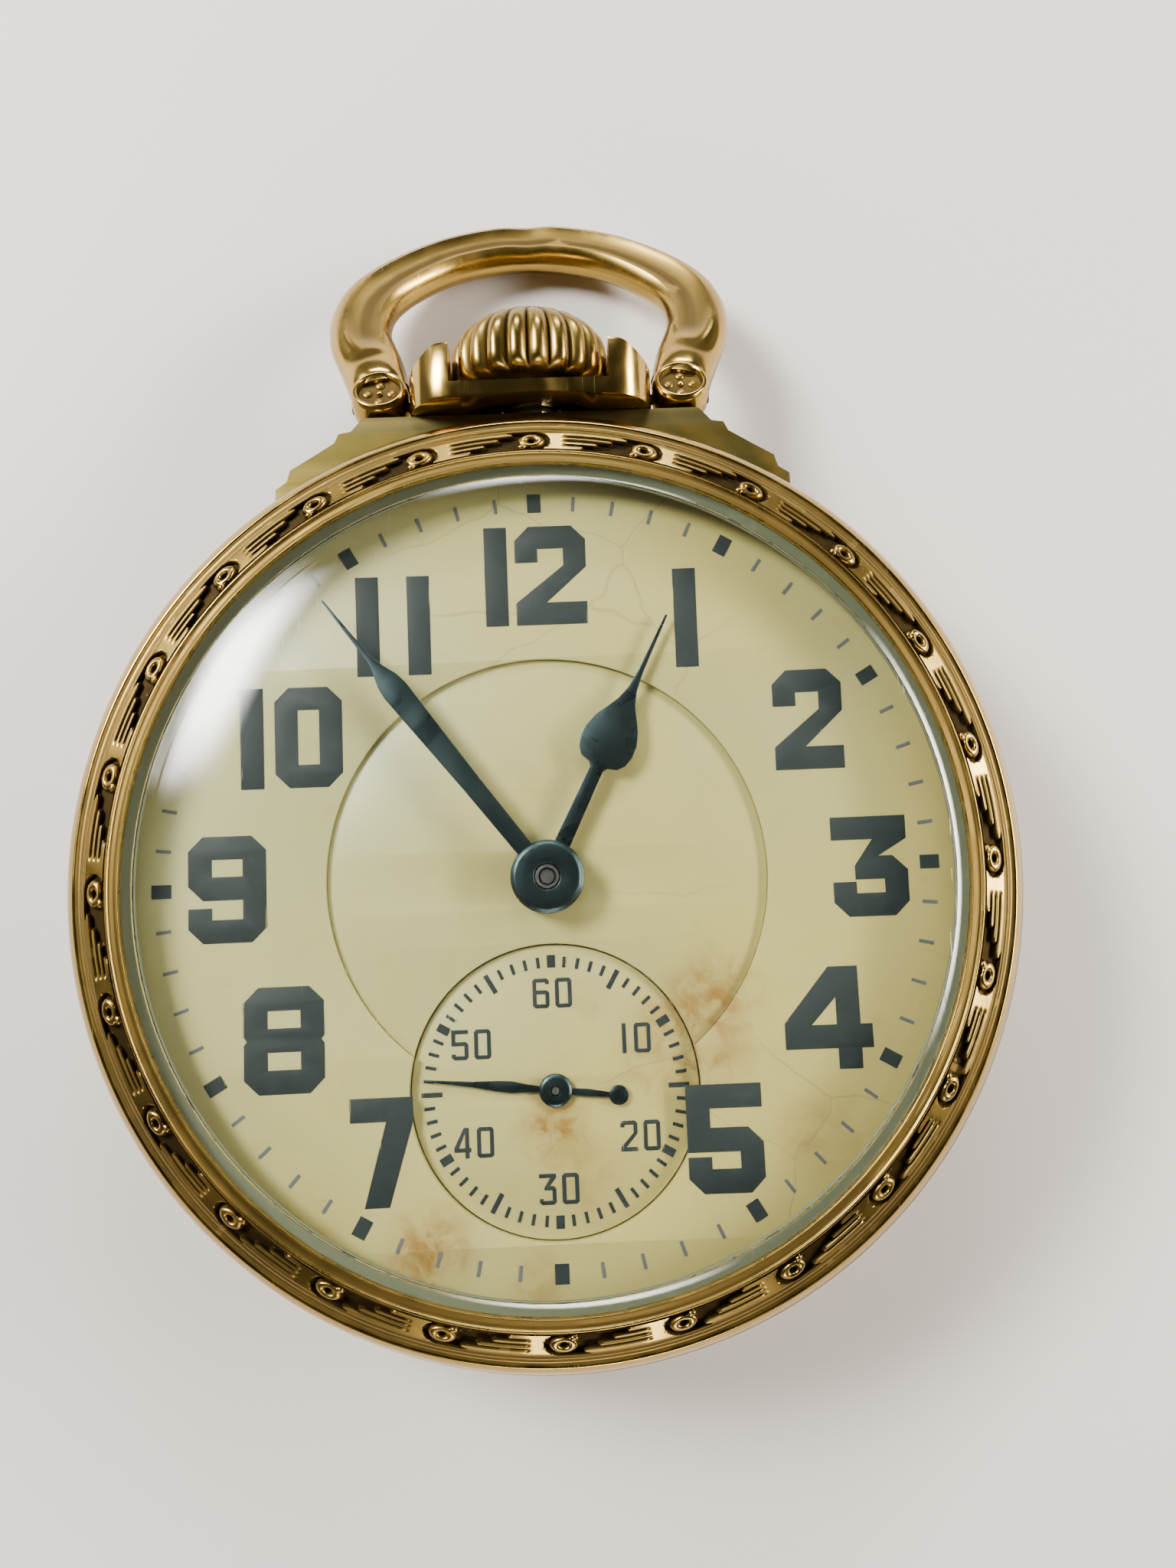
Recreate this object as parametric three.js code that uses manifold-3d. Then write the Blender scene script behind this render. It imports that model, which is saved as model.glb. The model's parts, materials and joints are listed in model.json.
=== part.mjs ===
// Open-face pocket watch: 16-size lever-set movement in a case with a screw bezel and a screw back.
//
// Millimetres. The watch lies on its back: +Z rises through the dial, +Y points to 12 o'clock,
// and the origin is on the dial axis, in the flat face of the back cover that it rests on.
// The hands stand at 12:53:46.

import * as THREE from 'three';
import { mergeVertices } from 'three/addons/utils/BufferGeometryUtils.js';
import Module from 'manifold-3d';

const wasm = await Module();
wasm.setup();

const DEG = Math.PI / 180;
const TURN = 2 * Math.PI;

// ---------------------------------------------------------------- driving dimensions

const CASE = {
  radius: 25.4, // at its widest, halfway up the band
  bandBottom: 5.0,
  bandMiddle: 7.0,
  bandTop: 9.0,
  threadRadius: 23.4, // neck that the back and the bezel screw onto
  threadLength: 0.8,
  threadGap: 0.2,
  ledgeRadius: 21.4, // bore below the ledge that carries the movement
  boreRadius: 22.3, // bore above it
  ledgeTop: 7.8,
};
const BACK = { flatRadius: 13.0, wall: 0.85 };
const BEZEL = {
  outerRadius: 24.5,
  innerRadius: 21.1,
  top: 12.15,
  grooveRadius: 21.75, // groove that holds the crystal
  grooveBottom: 10.9,
  grooveTop: 11.78,
};
const CRYSTAL = { edgeRadius: 21.65, top: 14.1, centreThickness: 1.2 };

const STEM_HEIGHT = 7.2; // axis of stem, crown and bow pivots
const NECK = {
  bottom: 25.2,
  saddle: 25.47, // radius of its hollow foot, which sits on the band
  floor: 26.15, // bottom of the notch that the crown turns in
  top: 28.4,
  halfWidth: 6.6,
  halfDepth: 3.7,
  corner: 2.6,
  notch: 4.65,
};
const CROWN = {
  radius: 4.5,
  bottom: 26.7,
  top: 31.0,
  flutes: 22,
  fluteDepth: 0.35,
  bore: 0.85,
  boreTop: 29.4,
};
const SLEEVE = { outer: 1.6, inner: 1.0, start: 22.5, end: 27.9 };
const BOW = {
  pivotX: 8.3,
  pivotY: 26.5,
  ball: 1.5,
  reach: 13.75, // pivot axis to the middle of the top
  halfWidth: 9.8, // to the middle of the side
  halfBand: 1.55, // half width of the section, seen from the front
  halfDepth: 1.25,
  drop: 26.2 * DEG, // how far it leans back to the table
};

const PLATE = { radius: 21.0, flange: 22.0, bottom: 6.5, top: 8.3, rimTop: 8.75 };
const DIAL = { radius: 21.3, centreRadius: 11.3, bottom: 8.75, top: 9.6, sink: 0.25, gap: 0.05 };
const SECONDS_DIAL = { radius: 7.34, top: 9.1, bottom: 8.55 };
const BRIDGE = { bottom: 2.9, top: 4.3, radius: 20.5, footRadius: 18.7 };
const RATCHET_LEVEL = [2.35, 2.85];

const HANDS_AT = { hour: 12, minute: 53, second: 46 };

// Where the arbors stand, seen from the front.
const CENTRE = [0, 0];
const FOURTH = [0, -10.76];
const THIRD = [4.106, -6.455];
const ESCAPE = [-2.776, -14.725];
const PALLET = [-5.243, -13.017];
const BALANCE = [-9.6, -10.0];
const BARREL = [-8.29, 5.81];
const CROWN_WHEEL = [0, 14.8];
const MINUTE_WHEEL = [2.758, 2.314];

// Teeth: count and module. Meshing pairs share a module.
const GEAR = {
  centre: { teeth: 80, module: 0.17 },
  thirdPinion: { teeth: 10, module: 0.17 },
  third: { teeth: 75, module: 0.14 },
  fourthPinion: { teeth: 10, module: 0.14 },
  fourth: { teeth: 80, module: 0.11 },
  escapePinion: { teeth: 8, module: 0.11 },
  barrel: { teeth: 78, module: 0.225 },
  centrePinion: { teeth: 12, module: 0.225 },
  ratchet: { teeth: 66, module: 0.2224 },
  crownWheel: { teeth: 44, module: 0.2224 },
  cannon: { teeth: 12, module: 0.15 },
  minuteWheel: { teeth: 36, module: 0.15 },
  minutePinion: { teeth: 10, module: 0.144 },
  hourWheel: { teeth: 40, module: 0.144 },
};

const BALANCE_WHEEL = { rim: 6.5, rimWidth: 0.6, bottom: 3.5, top: 4.2, clearRadius: 7.35 };
const ESCAPE_WHEEL = { teeth: 15, tip: 2.6, root: 2.05 };

const LARGE = 32; // sides of a case ring
const MEDIUM = 16;
const SMALL = 8;

// ---------------------------------------------------------------- finishes

function finish(color, roughness, metalness) {
  return new THREE.MeshStandardMaterial({ color, roughness, metalness });
}

const GOLD = finish(0xd9a441, 0.22, 1.0);
const BRASS = finish(0xc8a24a, 0.35, 1.0);
const NICKEL = finish(0xbfc0bd, 0.3, 1.0);
const STEEL = finish(0x9a9da1, 0.25, 1.0);
const BLUED_STEEL = finish(0x1d3440, 0.25, 1.0);
const ENAMEL = finish(0xd9cf9f, 0.25, 0.0);
const GLASS = finish(0xe8efe6, 0.05, 0.0);
const RUBY = finish(0xa01838, 0.1, 0.0);

// ---------------------------------------------------------------- solids

// A closed three.js geometry as a solid whose faces point out.
function solid(geometry) {
  const bare = new THREE.BufferGeometry();
  bare.setAttribute('position', geometry.getAttribute('position'));
  bare.setIndex(geometry.index);
  const merged = mergeVertices(bare);
  const at = merged.getAttribute('position').array;
  const corners = merged.index.array;
  const faces = [];
  let volume = 0;
  for (let i = 0; i < corners.length; i += 3) {
    const face = [corners[i], corners[i + 1], corners[i + 2]];
    if (new Set(face).size < 3) continue;
    faces.push(face);
    const [a, b, c] = face.map((k) => new THREE.Vector3(at[3 * k], at[3 * k + 1], at[3 * k + 2]));
    volume += a.dot(b.cross(c));
  }
  const outward = volume > 0 ? faces : faces.map((face) => face.reverse());
  return new wasm.Manifold(new wasm.Mesh({
    numProp: 3,
    vertProperties: Float32Array.from(at),
    triVerts: Uint32Array.from(outward.flat()),
  }));
}

// A solid turned about Z. The profile is a list of [radius, height],
// and is closed, or starts and ends on the axis.
function turned(profile, sides = MEDIUM, [x, y] = [0, 0]) {
  const outline = profile.map(([radius, height]) => new THREE.Vector2(radius, height));
  return solid(new THREE.LatheGeometry(outline, sides).rotateX(Math.PI / 2).translate(x, y, 0));
}

function disc(radius, bottom, top, sides = MEDIUM, at = [0, 0]) {
  return turned([[0, bottom], [radius, bottom], [radius, top], [0, top]], sides, at);
}

function ring(inner, outer, bottom, top, sides = MEDIUM, at = [0, 0]) {
  const profile = [[inner, bottom], [outer, bottom], [outer, top], [inner, top], [inner, bottom]];
  return turned(profile, sides, at);
}

function ball(radius, [x, y, z]) {
  return solid(new THREE.SphereGeometry(radius, 12, 8).translate(x, y, z));
}

// A flat shape given thickness.
function flat(shape, bottom, top, curveSegments = 6) {
  const options = { depth: top - bottom, bevelEnabled: false, curveSegments };
  return solid(new THREE.ExtrudeGeometry(shape, options).translate(0, 0, bottom));
}

function outlineOf(points) {
  return new THREE.Shape(points.map(([x, y]) => new THREE.Vector2(x, y)));
}

// A box with its middle at (x, y), turned by an angle about Z after it is placed.
function block([x, y], width, length, bottom, top, angle = 0) {
  const geometry = new THREE.BoxGeometry(width, length, top - bottom);
  return solid(geometry.translate(x, y, (bottom + top) / 2).rotateZ(angle));
}

const polar = (radius, angle) => [radius * Math.cos(angle), radius * Math.sin(angle)];

// A piece of the scene, made from a solid.
function piece(name, material, body, [x, y] = [0, 0], turn = 0) {
  const { vertProperties, triVerts } = body.getMesh();
  const geometry = new THREE.BufferGeometry();
  geometry.setAttribute('position', new THREE.BufferAttribute(vertProperties, 3));
  geometry.setIndex(new THREE.BufferAttribute(triVerts, 1));
  geometry.computeVertexNormals();
  const mesh = new THREE.Mesh(geometry, material);
  mesh.name = name;
  mesh.position.set(x, y, 0);
  mesh.rotation.z = turn;
  return mesh;
}

// ---------------------------------------------------------------- gears

const pitchRadius = ({ teeth, module }) => (teeth * module) / 2;
const tipRadius = (gear) => pitchRadius(gear) + 0.85 * gear.module;
const rootRadius = (gear) => pitchRadius(gear) - 1.15 * gear.module;

// A wheel with pointed teeth. A tooth tip stands on +X when phase is 0; phase counts in teeth.
function gearBody(gear, bottom, top, phase = 0) {
  const points = [];
  for (let i = 0; i < gear.teeth; i++) {
    const angle = ((i + phase) / gear.teeth) * TURN;
    points.push(polar(tipRadius(gear), angle));
    points.push(polar(rootRadius(gear), angle + TURN / gear.teeth / 2));
  }
  return flat(outlineOf(points), bottom, top);
}

// Windows between the spokes of a wheel.
function windows(count, inner, outer, spoke, bottom, top) {
  const steps = 2;
  const all = [];
  for (let i = 0; i < count; i++) {
    const points = [];
    for (const [radius, order] of [[outer, 1], [inner, -1]]) {
      const half = Math.PI / count - spoke / 2 / radius;
      for (let k = 0; k <= steps; k++) {
        points.push(polar(radius, (i / count) * TURN + order * half * ((2 * k) / steps - 1)));
      }
    }
    all.push(flat(outlineOf(points), bottom, top));
  }
  return all;
}

// Phase of a driven wheel that puts a gap opposite the driver's tooth, along the line between their arbors.
function meshPhase(driver, driverPhase, from, driven, to) {
  const along = Math.atan2(to[1] - from[1], to[0] - from[0]);
  const driverTooth = (along / TURN) * driver.teeth - driverPhase;
  const drivenLine = ((along + Math.PI) / TURN) * driven.teeth;
  return drivenLine + driverTooth + 0.5;
}

// ---------------------------------------------------------------- case

const backCover = turned([
  [0, 0],
  [BACK.flatRadius, 0],
  [17.0, 0.25],
  [20.5, 0.95],
  [23.0, 2.1],
  [24.6, 3.4],
  [25.2, 4.3],
  [25.2, CASE.bandBottom],
  [CASE.threadRadius + CASE.threadGap, CASE.bandBottom],
  [CASE.threadRadius + CASE.threadGap, 4.0],
  [22.6, 3.2],
  [20.2, 2.05],
  [17.0, 1.2],
  [BACK.flatRadius, BACK.wall],
  [0, BACK.wall],
], LARGE);

const LEVER_ANGLE = 60 * DEG;
const LEVER = { width: 1.7, start: 14.5, end: 21.45, bottom: 8.35, top: 8.6 };

function bandRing() {
  return turned([
    [CASE.ledgeRadius, CASE.bandBottom - CASE.threadLength + 0.1],
    [CASE.threadRadius, CASE.bandBottom - CASE.threadLength + 0.1],
    [CASE.threadRadius, CASE.bandBottom],
    [24.9, CASE.bandBottom],
    [25.25, 5.7],
    [CASE.radius, CASE.bandMiddle],
    [25.2, 8.1],
    [24.7, CASE.bandTop],
    [CASE.threadRadius, CASE.bandTop],
    [CASE.threadRadius, CASE.bandTop + CASE.threadLength],
    [CASE.boreRadius, CASE.bandTop + CASE.threadLength],
    [CASE.boreRadius, CASE.ledgeTop],
    [CASE.ledgeRadius, CASE.ledgeTop],
    [CASE.ledgeRadius, CASE.bandBottom - CASE.threadLength + 0.1],
  ], LARGE);
}

// The flare of the band that carries the neck and the ends of the bow.
function shoulder() {
  const flare = [[13.9, 20.0], [13.9, 21.2], [13.4, 22.0], [12.0, 23.0]];
  const half = [...flare, [10.4, 24.1], [9.4, 24.7], [9.2, NECK.bottom]];
  const mirrored = half.map(([x, y]) => [-x, y]).reverse();
  const prism = flat(outlineOf([...half, ...mirrored]), CASE.bandBottom + 0.15, CASE.bandTop - 0.15);
  return prism.subtract(disc(23.0, CASE.bandBottom, CASE.bandTop, LARGE));
}

function caseBand() {
  let band = bandRing().add(shoulder());
  for (const side of [-1, 1]) {
    band = band.subtract(ball(BOW.ball + 0.4, [side * BOW.pivotX, BOW.pivotY, STEM_HEIGHT]));
  }
  const stemBore = new THREE.CylinderGeometry(SLEEVE.outer + 0.35, SLEEVE.outer + 0.35, 6, MEDIUM);
  band = band.subtract(solid(stemBore.translate(0, 24, STEM_HEIGHT)));
  const pocketWidth = LEVER.width + 0.7;
  return band.subtract(block([0, 23.1], pocketWidth, 2.6, PLATE.top - 0.1, 10, LEVER_ANGLE - 90 * DEG));
}

const bezel = turned([
  [CASE.threadRadius + CASE.threadGap, CASE.bandTop],
  [24.4, CASE.bandTop],
  [BEZEL.outerRadius, 9.3],
  [24.4, 9.9],
  [24.1, 10.5],
  [23.65, 10.95],
  [22.95, 11.4],
  [21.95, 11.85],
  [21.5, BEZEL.top],
  [BEZEL.innerRadius, BEZEL.top - 0.05],
  [BEZEL.innerRadius, BEZEL.grooveTop],
  [BEZEL.grooveRadius, BEZEL.grooveTop],
  [BEZEL.grooveRadius, BEZEL.grooveBottom],
  [BEZEL.innerRadius, BEZEL.grooveBottom],
  [BEZEL.innerRadius, 10.4],
  [21.7, 10.0],
  [CASE.threadRadius + CASE.threadGap, 10.0],
  [CASE.threadRadius + CASE.threadGap, CASE.bandTop],
], LARGE);

const crystal = turned([
  [0, CRYSTAL.top],
  [7.0, 14.0],
  [13.0, 13.7],
  [17.5, 13.2],
  [20.0, 12.55],
  [21.0, 11.95],
  [21.05, 11.7],
  [CRYSTAL.edgeRadius, 11.7],
  [CRYSTAL.edgeRadius, 11.0],
  [20.3, 11.0],
  [19.6, 11.45],
  [17.0, 12.1],
  [12.0, 12.6],
  [0, CRYSTAL.top - CRYSTAL.centreThickness],
], LARGE);

// ---------------------------------------------------------------- neck, stem and crown
// These are turned about the stem: they are built along local Z, and the group lays that along +Y.

function roundedRectangle(halfWidth, halfHeight, corner) {
  const shape = new THREE.Shape();
  const [innerX, innerY] = [halfWidth - corner, halfHeight - corner];
  shape.absarc(innerX, innerY, corner, 0, 90 * DEG);
  shape.absarc(-innerX, innerY, corner, 90 * DEG, 180 * DEG);
  shape.absarc(-innerX, -innerY, corner, 180 * DEG, 270 * DEG);
  shape.absarc(innerX, -innerY, corner, 270 * DEG, 360 * DEG);
  return shape;
}

const EAR_HOLE = 0.65;

function pendantNeck() {
  const collar = flat(roundedRectangle(NECK.halfWidth, NECK.halfDepth, NECK.corner), NECK.bottom, NECK.top);
  const crownRecess = disc(CROWN.radius + 0.5, NECK.floor, NECK.top + 1, MEDIUM);
  const notch = block([0, 0], 2 * NECK.notch, 4 * NECK.halfDepth, NECK.floor, NECK.top + 1);
  const sleeveHole = disc(SLEEVE.outer + 0.35, NECK.bottom - 1, NECK.top, MEDIUM);
  const saddle = solid(new THREE.CylinderGeometry(NECK.saddle, NECK.saddle, 20, 2 * LARGE));
  const earHole = new THREE.CylinderGeometry(EAR_HOLE, EAR_HOLE, 4 * NECK.halfWidth, SMALL);
  const earHoles = solid(earHole.rotateZ(90 * DEG).translate(0, 0, BOW.pivotY))
    .subtract(block([0, 0], 2 * 5.3, 10, 20, 30));
  const cuts = [saddle, crownRecess, notch, sleeveHole, earHoles];
  return cuts.reduce((body, cut) => body.subtract(cut), collar);
}

const STEM = { radius: 0.6, pivotRadius: 0.35, start: 12.6, shoulder: 13.4, end: 29.1 };
const windingStem = turned([
  [0, STEM.start],
  [STEM.pivotRadius, STEM.start],
  [STEM.pivotRadius, STEM.shoulder],
  [STEM.radius, STEM.shoulder],
  [STEM.radius, STEM.end],
  [0, STEM.end],
], SMALL);

// A domed knob whose skirt is fluted: every second column of the wall is pulled in.
function crownBody() {
  const profile = [
    [0, CROWN.top],
    [2.3, 30.85],
    [3.6, 30.25],
    [4.3, 29.4],
    [CROWN.radius, 28.5],
    [CROWN.radius, 27.5],
    [4.2, 26.85],
    [3.2, CROWN.bottom],
    [2.5, CROWN.bottom],
    [2.5, 28.3],
    [CROWN.bore, 28.3],
    [CROWN.bore, CROWN.boreTop],
    [0, CROWN.boreTop],
  ];
  const outline = profile.map(([radius, height]) => new THREE.Vector2(radius, height));
  const geometry = new THREE.LatheGeometry(outline, 2 * CROWN.flutes);
  const at = geometry.getAttribute('position');
  for (let i = 0; i < at.count; i++) {
    const column = Math.floor(i / profile.length);
    const radius = Math.hypot(at.getX(i), at.getZ(i));
    if (column % 2 === 1 && radius > 3.8) {
      const scale = (radius - CROWN.fluteDepth) / radius;
      at.setXYZ(i, at.getX(i) * scale, at.getY(i), at.getZ(i) * scale);
    }
  }
  return solid(geometry.rotateX(Math.PI / 2));
}

function alongStem(...pieces) {
  const group = new THREE.Group();
  group.rotation.x = -90 * DEG;
  group.position.z = STEM_HEIGHT;
  group.add(...pieces);
  return group;
}

// ---------------------------------------------------------------- bow
// Built upright about its pivot axis, then leaned back to the table.

function bowBody() {
  const half = [
    [BOW.pivotX + 0.1, 0.7],
    [8.9, 3.0],
    [BOW.halfWidth, 5.8],
    [9.4, 8.5],
    [7.6, 10.8],
    [4.3, 12.9],
  ];
  const mirrored = half.map(([x, y]) => [-x, y]).reverse();
  const points = [...half, [0, BOW.reach], ...mirrored].map(([x, y]) => new THREE.Vector3(x, y, 0));
  const path = new THREE.CatmullRomCurve3(points);
  const section = new THREE.Shape();
  section.absellipse(0, 0, BOW.halfDepth, BOW.halfBand, 0, TURN);
  const options = { steps: 22, curveSegments: 4, extrudePath: path };
  let bow = solid(new THREE.ExtrudeGeometry(section, options));
  for (const side of [-1, 1]) {
    bow = bow.add(ball(BOW.ball, [side * BOW.pivotX, 0, 0]));
  }
  const hole = new THREE.CylinderGeometry(0.75, 0.75, 30, SMALL).rotateZ(90 * DEG);
  return bow.subtract(solid(hole));
}

const bowGroup = new THREE.Group();
bowGroup.position.set(0, BOW.pivotY, STEM_HEIGHT);
bowGroup.rotation.x = -BOW.drop;
bowGroup.add(piece('bow', GOLD, bowBody()));

// Screws that pin the bow to the ears of the neck.
function bowScrew(side) {
  const screw = turned([[0, 5.5], [0.45, 5.5], [0.45, 9.9], [0, 9.9]], SMALL);
  const mesh = piece(side < 0 ? 'bow_screw_left' : 'bow_screw_right', STEEL, screw);
  mesh.rotation.y = side * 90 * DEG;
  mesh.position.set(0, BOW.pivotY, STEM_HEIGHT);
  return mesh;
}

// ---------------------------------------------------------------- dial

const dialCut = disc(SECONDS_DIAL.radius, 8, 10, MEDIUM, FOURTH);
const FOOT_ANGLES = [100, 205, 345].map((angle) => angle * DEG);
const FOOT = { circle: 18.0, radius: 0.45, bottom: 7.3 };

function dialRing() {
  let body = ring(DIAL.centreRadius, DIAL.radius, DIAL.bottom, DIAL.top, LARGE).subtract(dialCut);
  for (const angle of FOOT_ANGLES) {
    body = body.add(disc(FOOT.radius, FOOT.bottom, DIAL.bottom + 0.2, SMALL, polar(FOOT.circle, angle)));
  }
  return body;
}

function dialCentre() {
  const radius = DIAL.centreRadius - DIAL.gap;
  return ring(1.3, radius, DIAL.bottom - 0.1, DIAL.top - DIAL.sink, LARGE).subtract(dialCut);
}

const secondsEdge = SECONDS_DIAL.radius - DIAL.gap;
const secondsDial = ring(0.5, secondsEdge, SECONDS_DIAL.bottom, SECONDS_DIAL.top, MEDIUM);

// ---------------------------------------------------------------- hands
// Each is drawn pointing to 12 and turned to its time.

const HOUR_BLADE = { bottom: 9.95, top: 10.15 };
const MINUTE_BLADE = { bottom: 10.65, top: 10.85 };
const SECONDS_BLADE = { bottom: 9.22, top: 9.34 };

const mirroredOutline = (half) => outlineOf([...half, ...half.slice().reverse().map(([x, y]) => [-x, y])]);

function hourHand() {
  const spade = [[1.0, 6.35], [1.45, 7.4], [1.15, 8.7], [0.5, 9.8]];
  const half = [[0.43, 0.6], [0.36, 5.9], ...spade, [0.2, 10.9], [0.06, 14.9]];
  const blade = flat(mirroredOutline(half), HOUR_BLADE.bottom, HOUR_BLADE.top);
  const boss = disc(1.9, 9.9, 10.3, MEDIUM);
  return blade.add(boss).subtract(disc(1.1, 9, 11, MEDIUM));
}

function minuteHand() {
  const half = [[0.42, 0.6], [0.48, 8.0], [0.7, 12.3], [0.62, 13.3], [0.23, 14.5], [0.06, 18.2]];
  const blade = flat(mirroredOutline(half), MINUTE_BLADE.bottom, MINUTE_BLADE.top);
  const boss = disc(1.8, 10.6, 11.0, MEDIUM);
  return blade.add(boss).subtract(disc(0.68, 10, 12, MEDIUM));
}

function secondsHand() {
  const half = [[0.2, -2.8], [0.16, 0], [0.27, 2.3], [0.1, 4.5], [0.05, 7.05]];
  const blade = flat(mirroredOutline(half), SECONDS_BLADE.bottom, SECONDS_BLADE.top);
  const boss = disc(0.85, SECONDS_BLADE.bottom, 9.5, MEDIUM);
  const counterweight = disc(0.55, SECONDS_BLADE.bottom, 9.42, SMALL, [0, -3.05]);
  return blade.add(boss).add(counterweight).subtract(disc(0.28, 9, 10, SMALL));
}

const minuteTurn = -((HANDS_AT.minute + HANDS_AT.second / 60) / 60) * TURN;
const hourTurn = -((HANDS_AT.hour % 12) / 12) * TURN + minuteTurn / 12;
const secondsTurn = -(HANDS_AT.second / 60) * TURN;

// ---------------------------------------------------------------- motion work, under the dial

const cannonLevel = [7.75, 8.05];
const minuteWheelLevel = [7.8, 8.0];
const minutePhase = meshPhase(GEAR.cannon, 0, CENTRE, GEAR.minuteWheel, MINUTE_WHEEL);
const minutePinionPhase = 0;
const hourPhase = meshPhase(GEAR.minutePinion, minutePinionPhase, MINUTE_WHEEL, GEAR.hourWheel, CENTRE);

function cannonPinion() {
  const body = gearBody(GEAR.cannon, ...cannonLevel).add(disc(0.6, cannonLevel[0], 10.95, MEDIUM));
  return body.subtract(disc(0.45, 7, 12, MEDIUM));
}

function hourWheel() {
  const body = gearBody(GEAR.hourWheel, 8.2, 8.4, hourPhase).add(disc(1.0, 8.2, 10.2, MEDIUM));
  return body.subtract(disc(0.72, 8, 11, MEDIUM));
}

function minuteWheel() {
  const wheel = gearBody(GEAR.minuteWheel, ...minuteWheelLevel, minutePhase);
  const pinion = gearBody(GEAR.minutePinion, 8.0, 8.45, minutePinionPhase);
  return wheel.add(pinion).subtract(disc(0.33, 7, 9, SMALL));
}

// ---------------------------------------------------------------- pillar plate

const BARREL_POCKET = { radius: 9.35, top: 7.2 };
const MOTION_RECESS = 7.65;
const PIVOT_HOLE = 0.35;
const SCREW_HOLE = 0.5;
const CASE_SCREW_ANGLES = [205, 25].map((angle) => angle * DEG);
const CASE_SCREWS = CASE_SCREW_ANGLES.map((angle) => polar(20.2, angle));

const BRIDGE_SCREWS = {
  barrel_bridge_screw_1: polar(19.6, 62 * DEG),
  barrel_bridge_screw_2: polar(19.6, 172 * DEG),
  train_bridge_screw_1: polar(19.6, 310 * DEG),
  train_bridge_screw_2: polar(19.6, 355 * DEG),
};
const COCK_SCREW = [-17.9, -2.4];
const PALLET_SCREW = [-7.29, -15.98];

function pillarPlate() {
  let plate = disc(PLATE.radius, PLATE.bottom, PLATE.top, LARGE)
    .add(disc(PLATE.flange, CASE.ledgeTop, PLATE.top, LARGE))
    .add(ring(20.4, 21.2, PLATE.top - 0.1, PLATE.rimTop, LARGE));
  const cuts = [
    disc(BARREL_POCKET.radius + 0.2, 6, BARREL_POCKET.top, MEDIUM, BARREL),
    disc(3.4, MOTION_RECESS, 9, MEDIUM),
    disc(3.15, MOTION_RECESS, 9, MEDIUM, MINUTE_WHEEL),
    disc(0.75, 6, 9, MEDIUM),
    block([0, 15.7], 4.2, 7.0, 6, 10),
    block([0, 21.0], 2.0, 4.5, 6, 10),
    block([0, 21.0], LEVER.width + 0.5, 4.0, PLATE.top, 10, LEVER_ANGLE - 90 * DEG),
    ...[THIRD, ESCAPE, PALLET, BALANCE].map((at) => disc(PIVOT_HOLE, 6, 9, SMALL, at)),
    disc(0.5, 6, 9, SMALL, FOURTH),
    disc(0.95, 6, 9, SMALL, BARREL),
    ...FOOT_ANGLES.map((angle) => disc(FOOT.radius + 0.2, 6, 9, SMALL, polar(FOOT.circle, angle))),
    ...CASE_SCREWS.map((at) => disc(SCREW_HOLE, 6, 7.6, SMALL, at)),
    ...Object.values(BRIDGE_SCREWS).map((at) => disc(SCREW_HOLE, 6, 7.6, SMALL, at)),
    ...[COCK_SCREW, PALLET_SCREW].map((at) => disc(SCREW_HOLE, 6, 7.6, SMALL, at)),
  ];
  for (const cut of cuts) plate = plate.subtract(cut);
  const stud = disc(0.25, MOTION_RECESS - 0.1, 8.55, SMALL, MINUTE_WHEEL);
  return plate.add(stud);
}

// ---------------------------------------------------------------- bridges and cocks

// A foot that stands under a bridge along its outer edge.
function bridgeFoot(from, to) {
  const shape = new THREE.Shape();
  shape.absarc(0, 0, BRIDGE.radius, from * DEG, to * DEG, false);
  shape.absarc(0, 0, BRIDGE.footRadius, to * DEG, from * DEG, true);
  return flat(shape, BRIDGE.bottom + 0.2, PLATE.bottom, 2);
}

const caseScrewNotches = CASE_SCREWS.map((at) => disc(2.1, 2, 7, MEDIUM, at));

function screwHoles(...names) {
  return names.map((name) => disc(SCREW_HOLE, 2, 7, SMALL, BRIDGE_SCREWS[name]));
}

function bridge(shape, feet, holes) {
  let body = flat(shape, BRIDGE.bottom, BRIDGE.top, 9);
  for (const [from, to] of feet) body = body.add(bridgeFoot(from, to));
  body = body.subtract(disc(BALANCE_WHEEL.clearRadius, 2, 5, MEDIUM, BALANCE));
  for (const cut of [...caseScrewNotches, ...holes]) body = body.subtract(cut);
  return body;
}

function barrelBridge() {
  const shape = new THREE.Shape();
  shape.absarc(0, 0, BRIDGE.radius, 27 * DEG, 177 * DEG, false);
  shape.lineTo(-15.0, 0.6);
  shape.lineTo(-13.0, -1.4);
  shape.bezierCurveTo(-9.0, -2.4, -6.4, -2.6, -4.1, -1.2);
  shape.bezierCurveTo(-3.6, 1.6, -3.2, 4.4, 1.2, 4.4);
  shape.lineTo(6.2, 4.8);
  const holes = [
    disc(1.35, 2, 5, MEDIUM, BARREL),
    disc(1.8, 2, 5, MEDIUM, CROWN_WHEEL),
    ...screwHoles('barrel_bridge_screw_1', 'barrel_bridge_screw_2'),
  ];
  return bridge(shape, [[50, 75], [103, 118], [165, 177]], holes);
}

const JEWEL = { outer: 0.85, inner: 0.25, bottom: 3.0, top: 3.9 };

function trainBridge() {
  const shape = new THREE.Shape();
  shape.absarc(0, 0, BRIDGE.radius, 260 * DEG, 384 * DEG, false);
  shape.lineTo(6.2, 4.3);
  shape.lineTo(1.2, 4.0);
  shape.bezierCurveTo(-2.4, 4.0, -3.2, 1.6, -3.6, -1.4);
  const holes = [
    ...[CENTRE, THIRD, FOURTH, ESCAPE].map((at) => disc(JEWEL.outer + 0.02, 2, 5, SMALL, at)),
    ...screwHoles('train_bridge_screw_1', 'train_bridge_screw_2'),
  ];
  return bridge(shape, [[262, 272], [302, 320], [348, 364]], holes);
}

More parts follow.
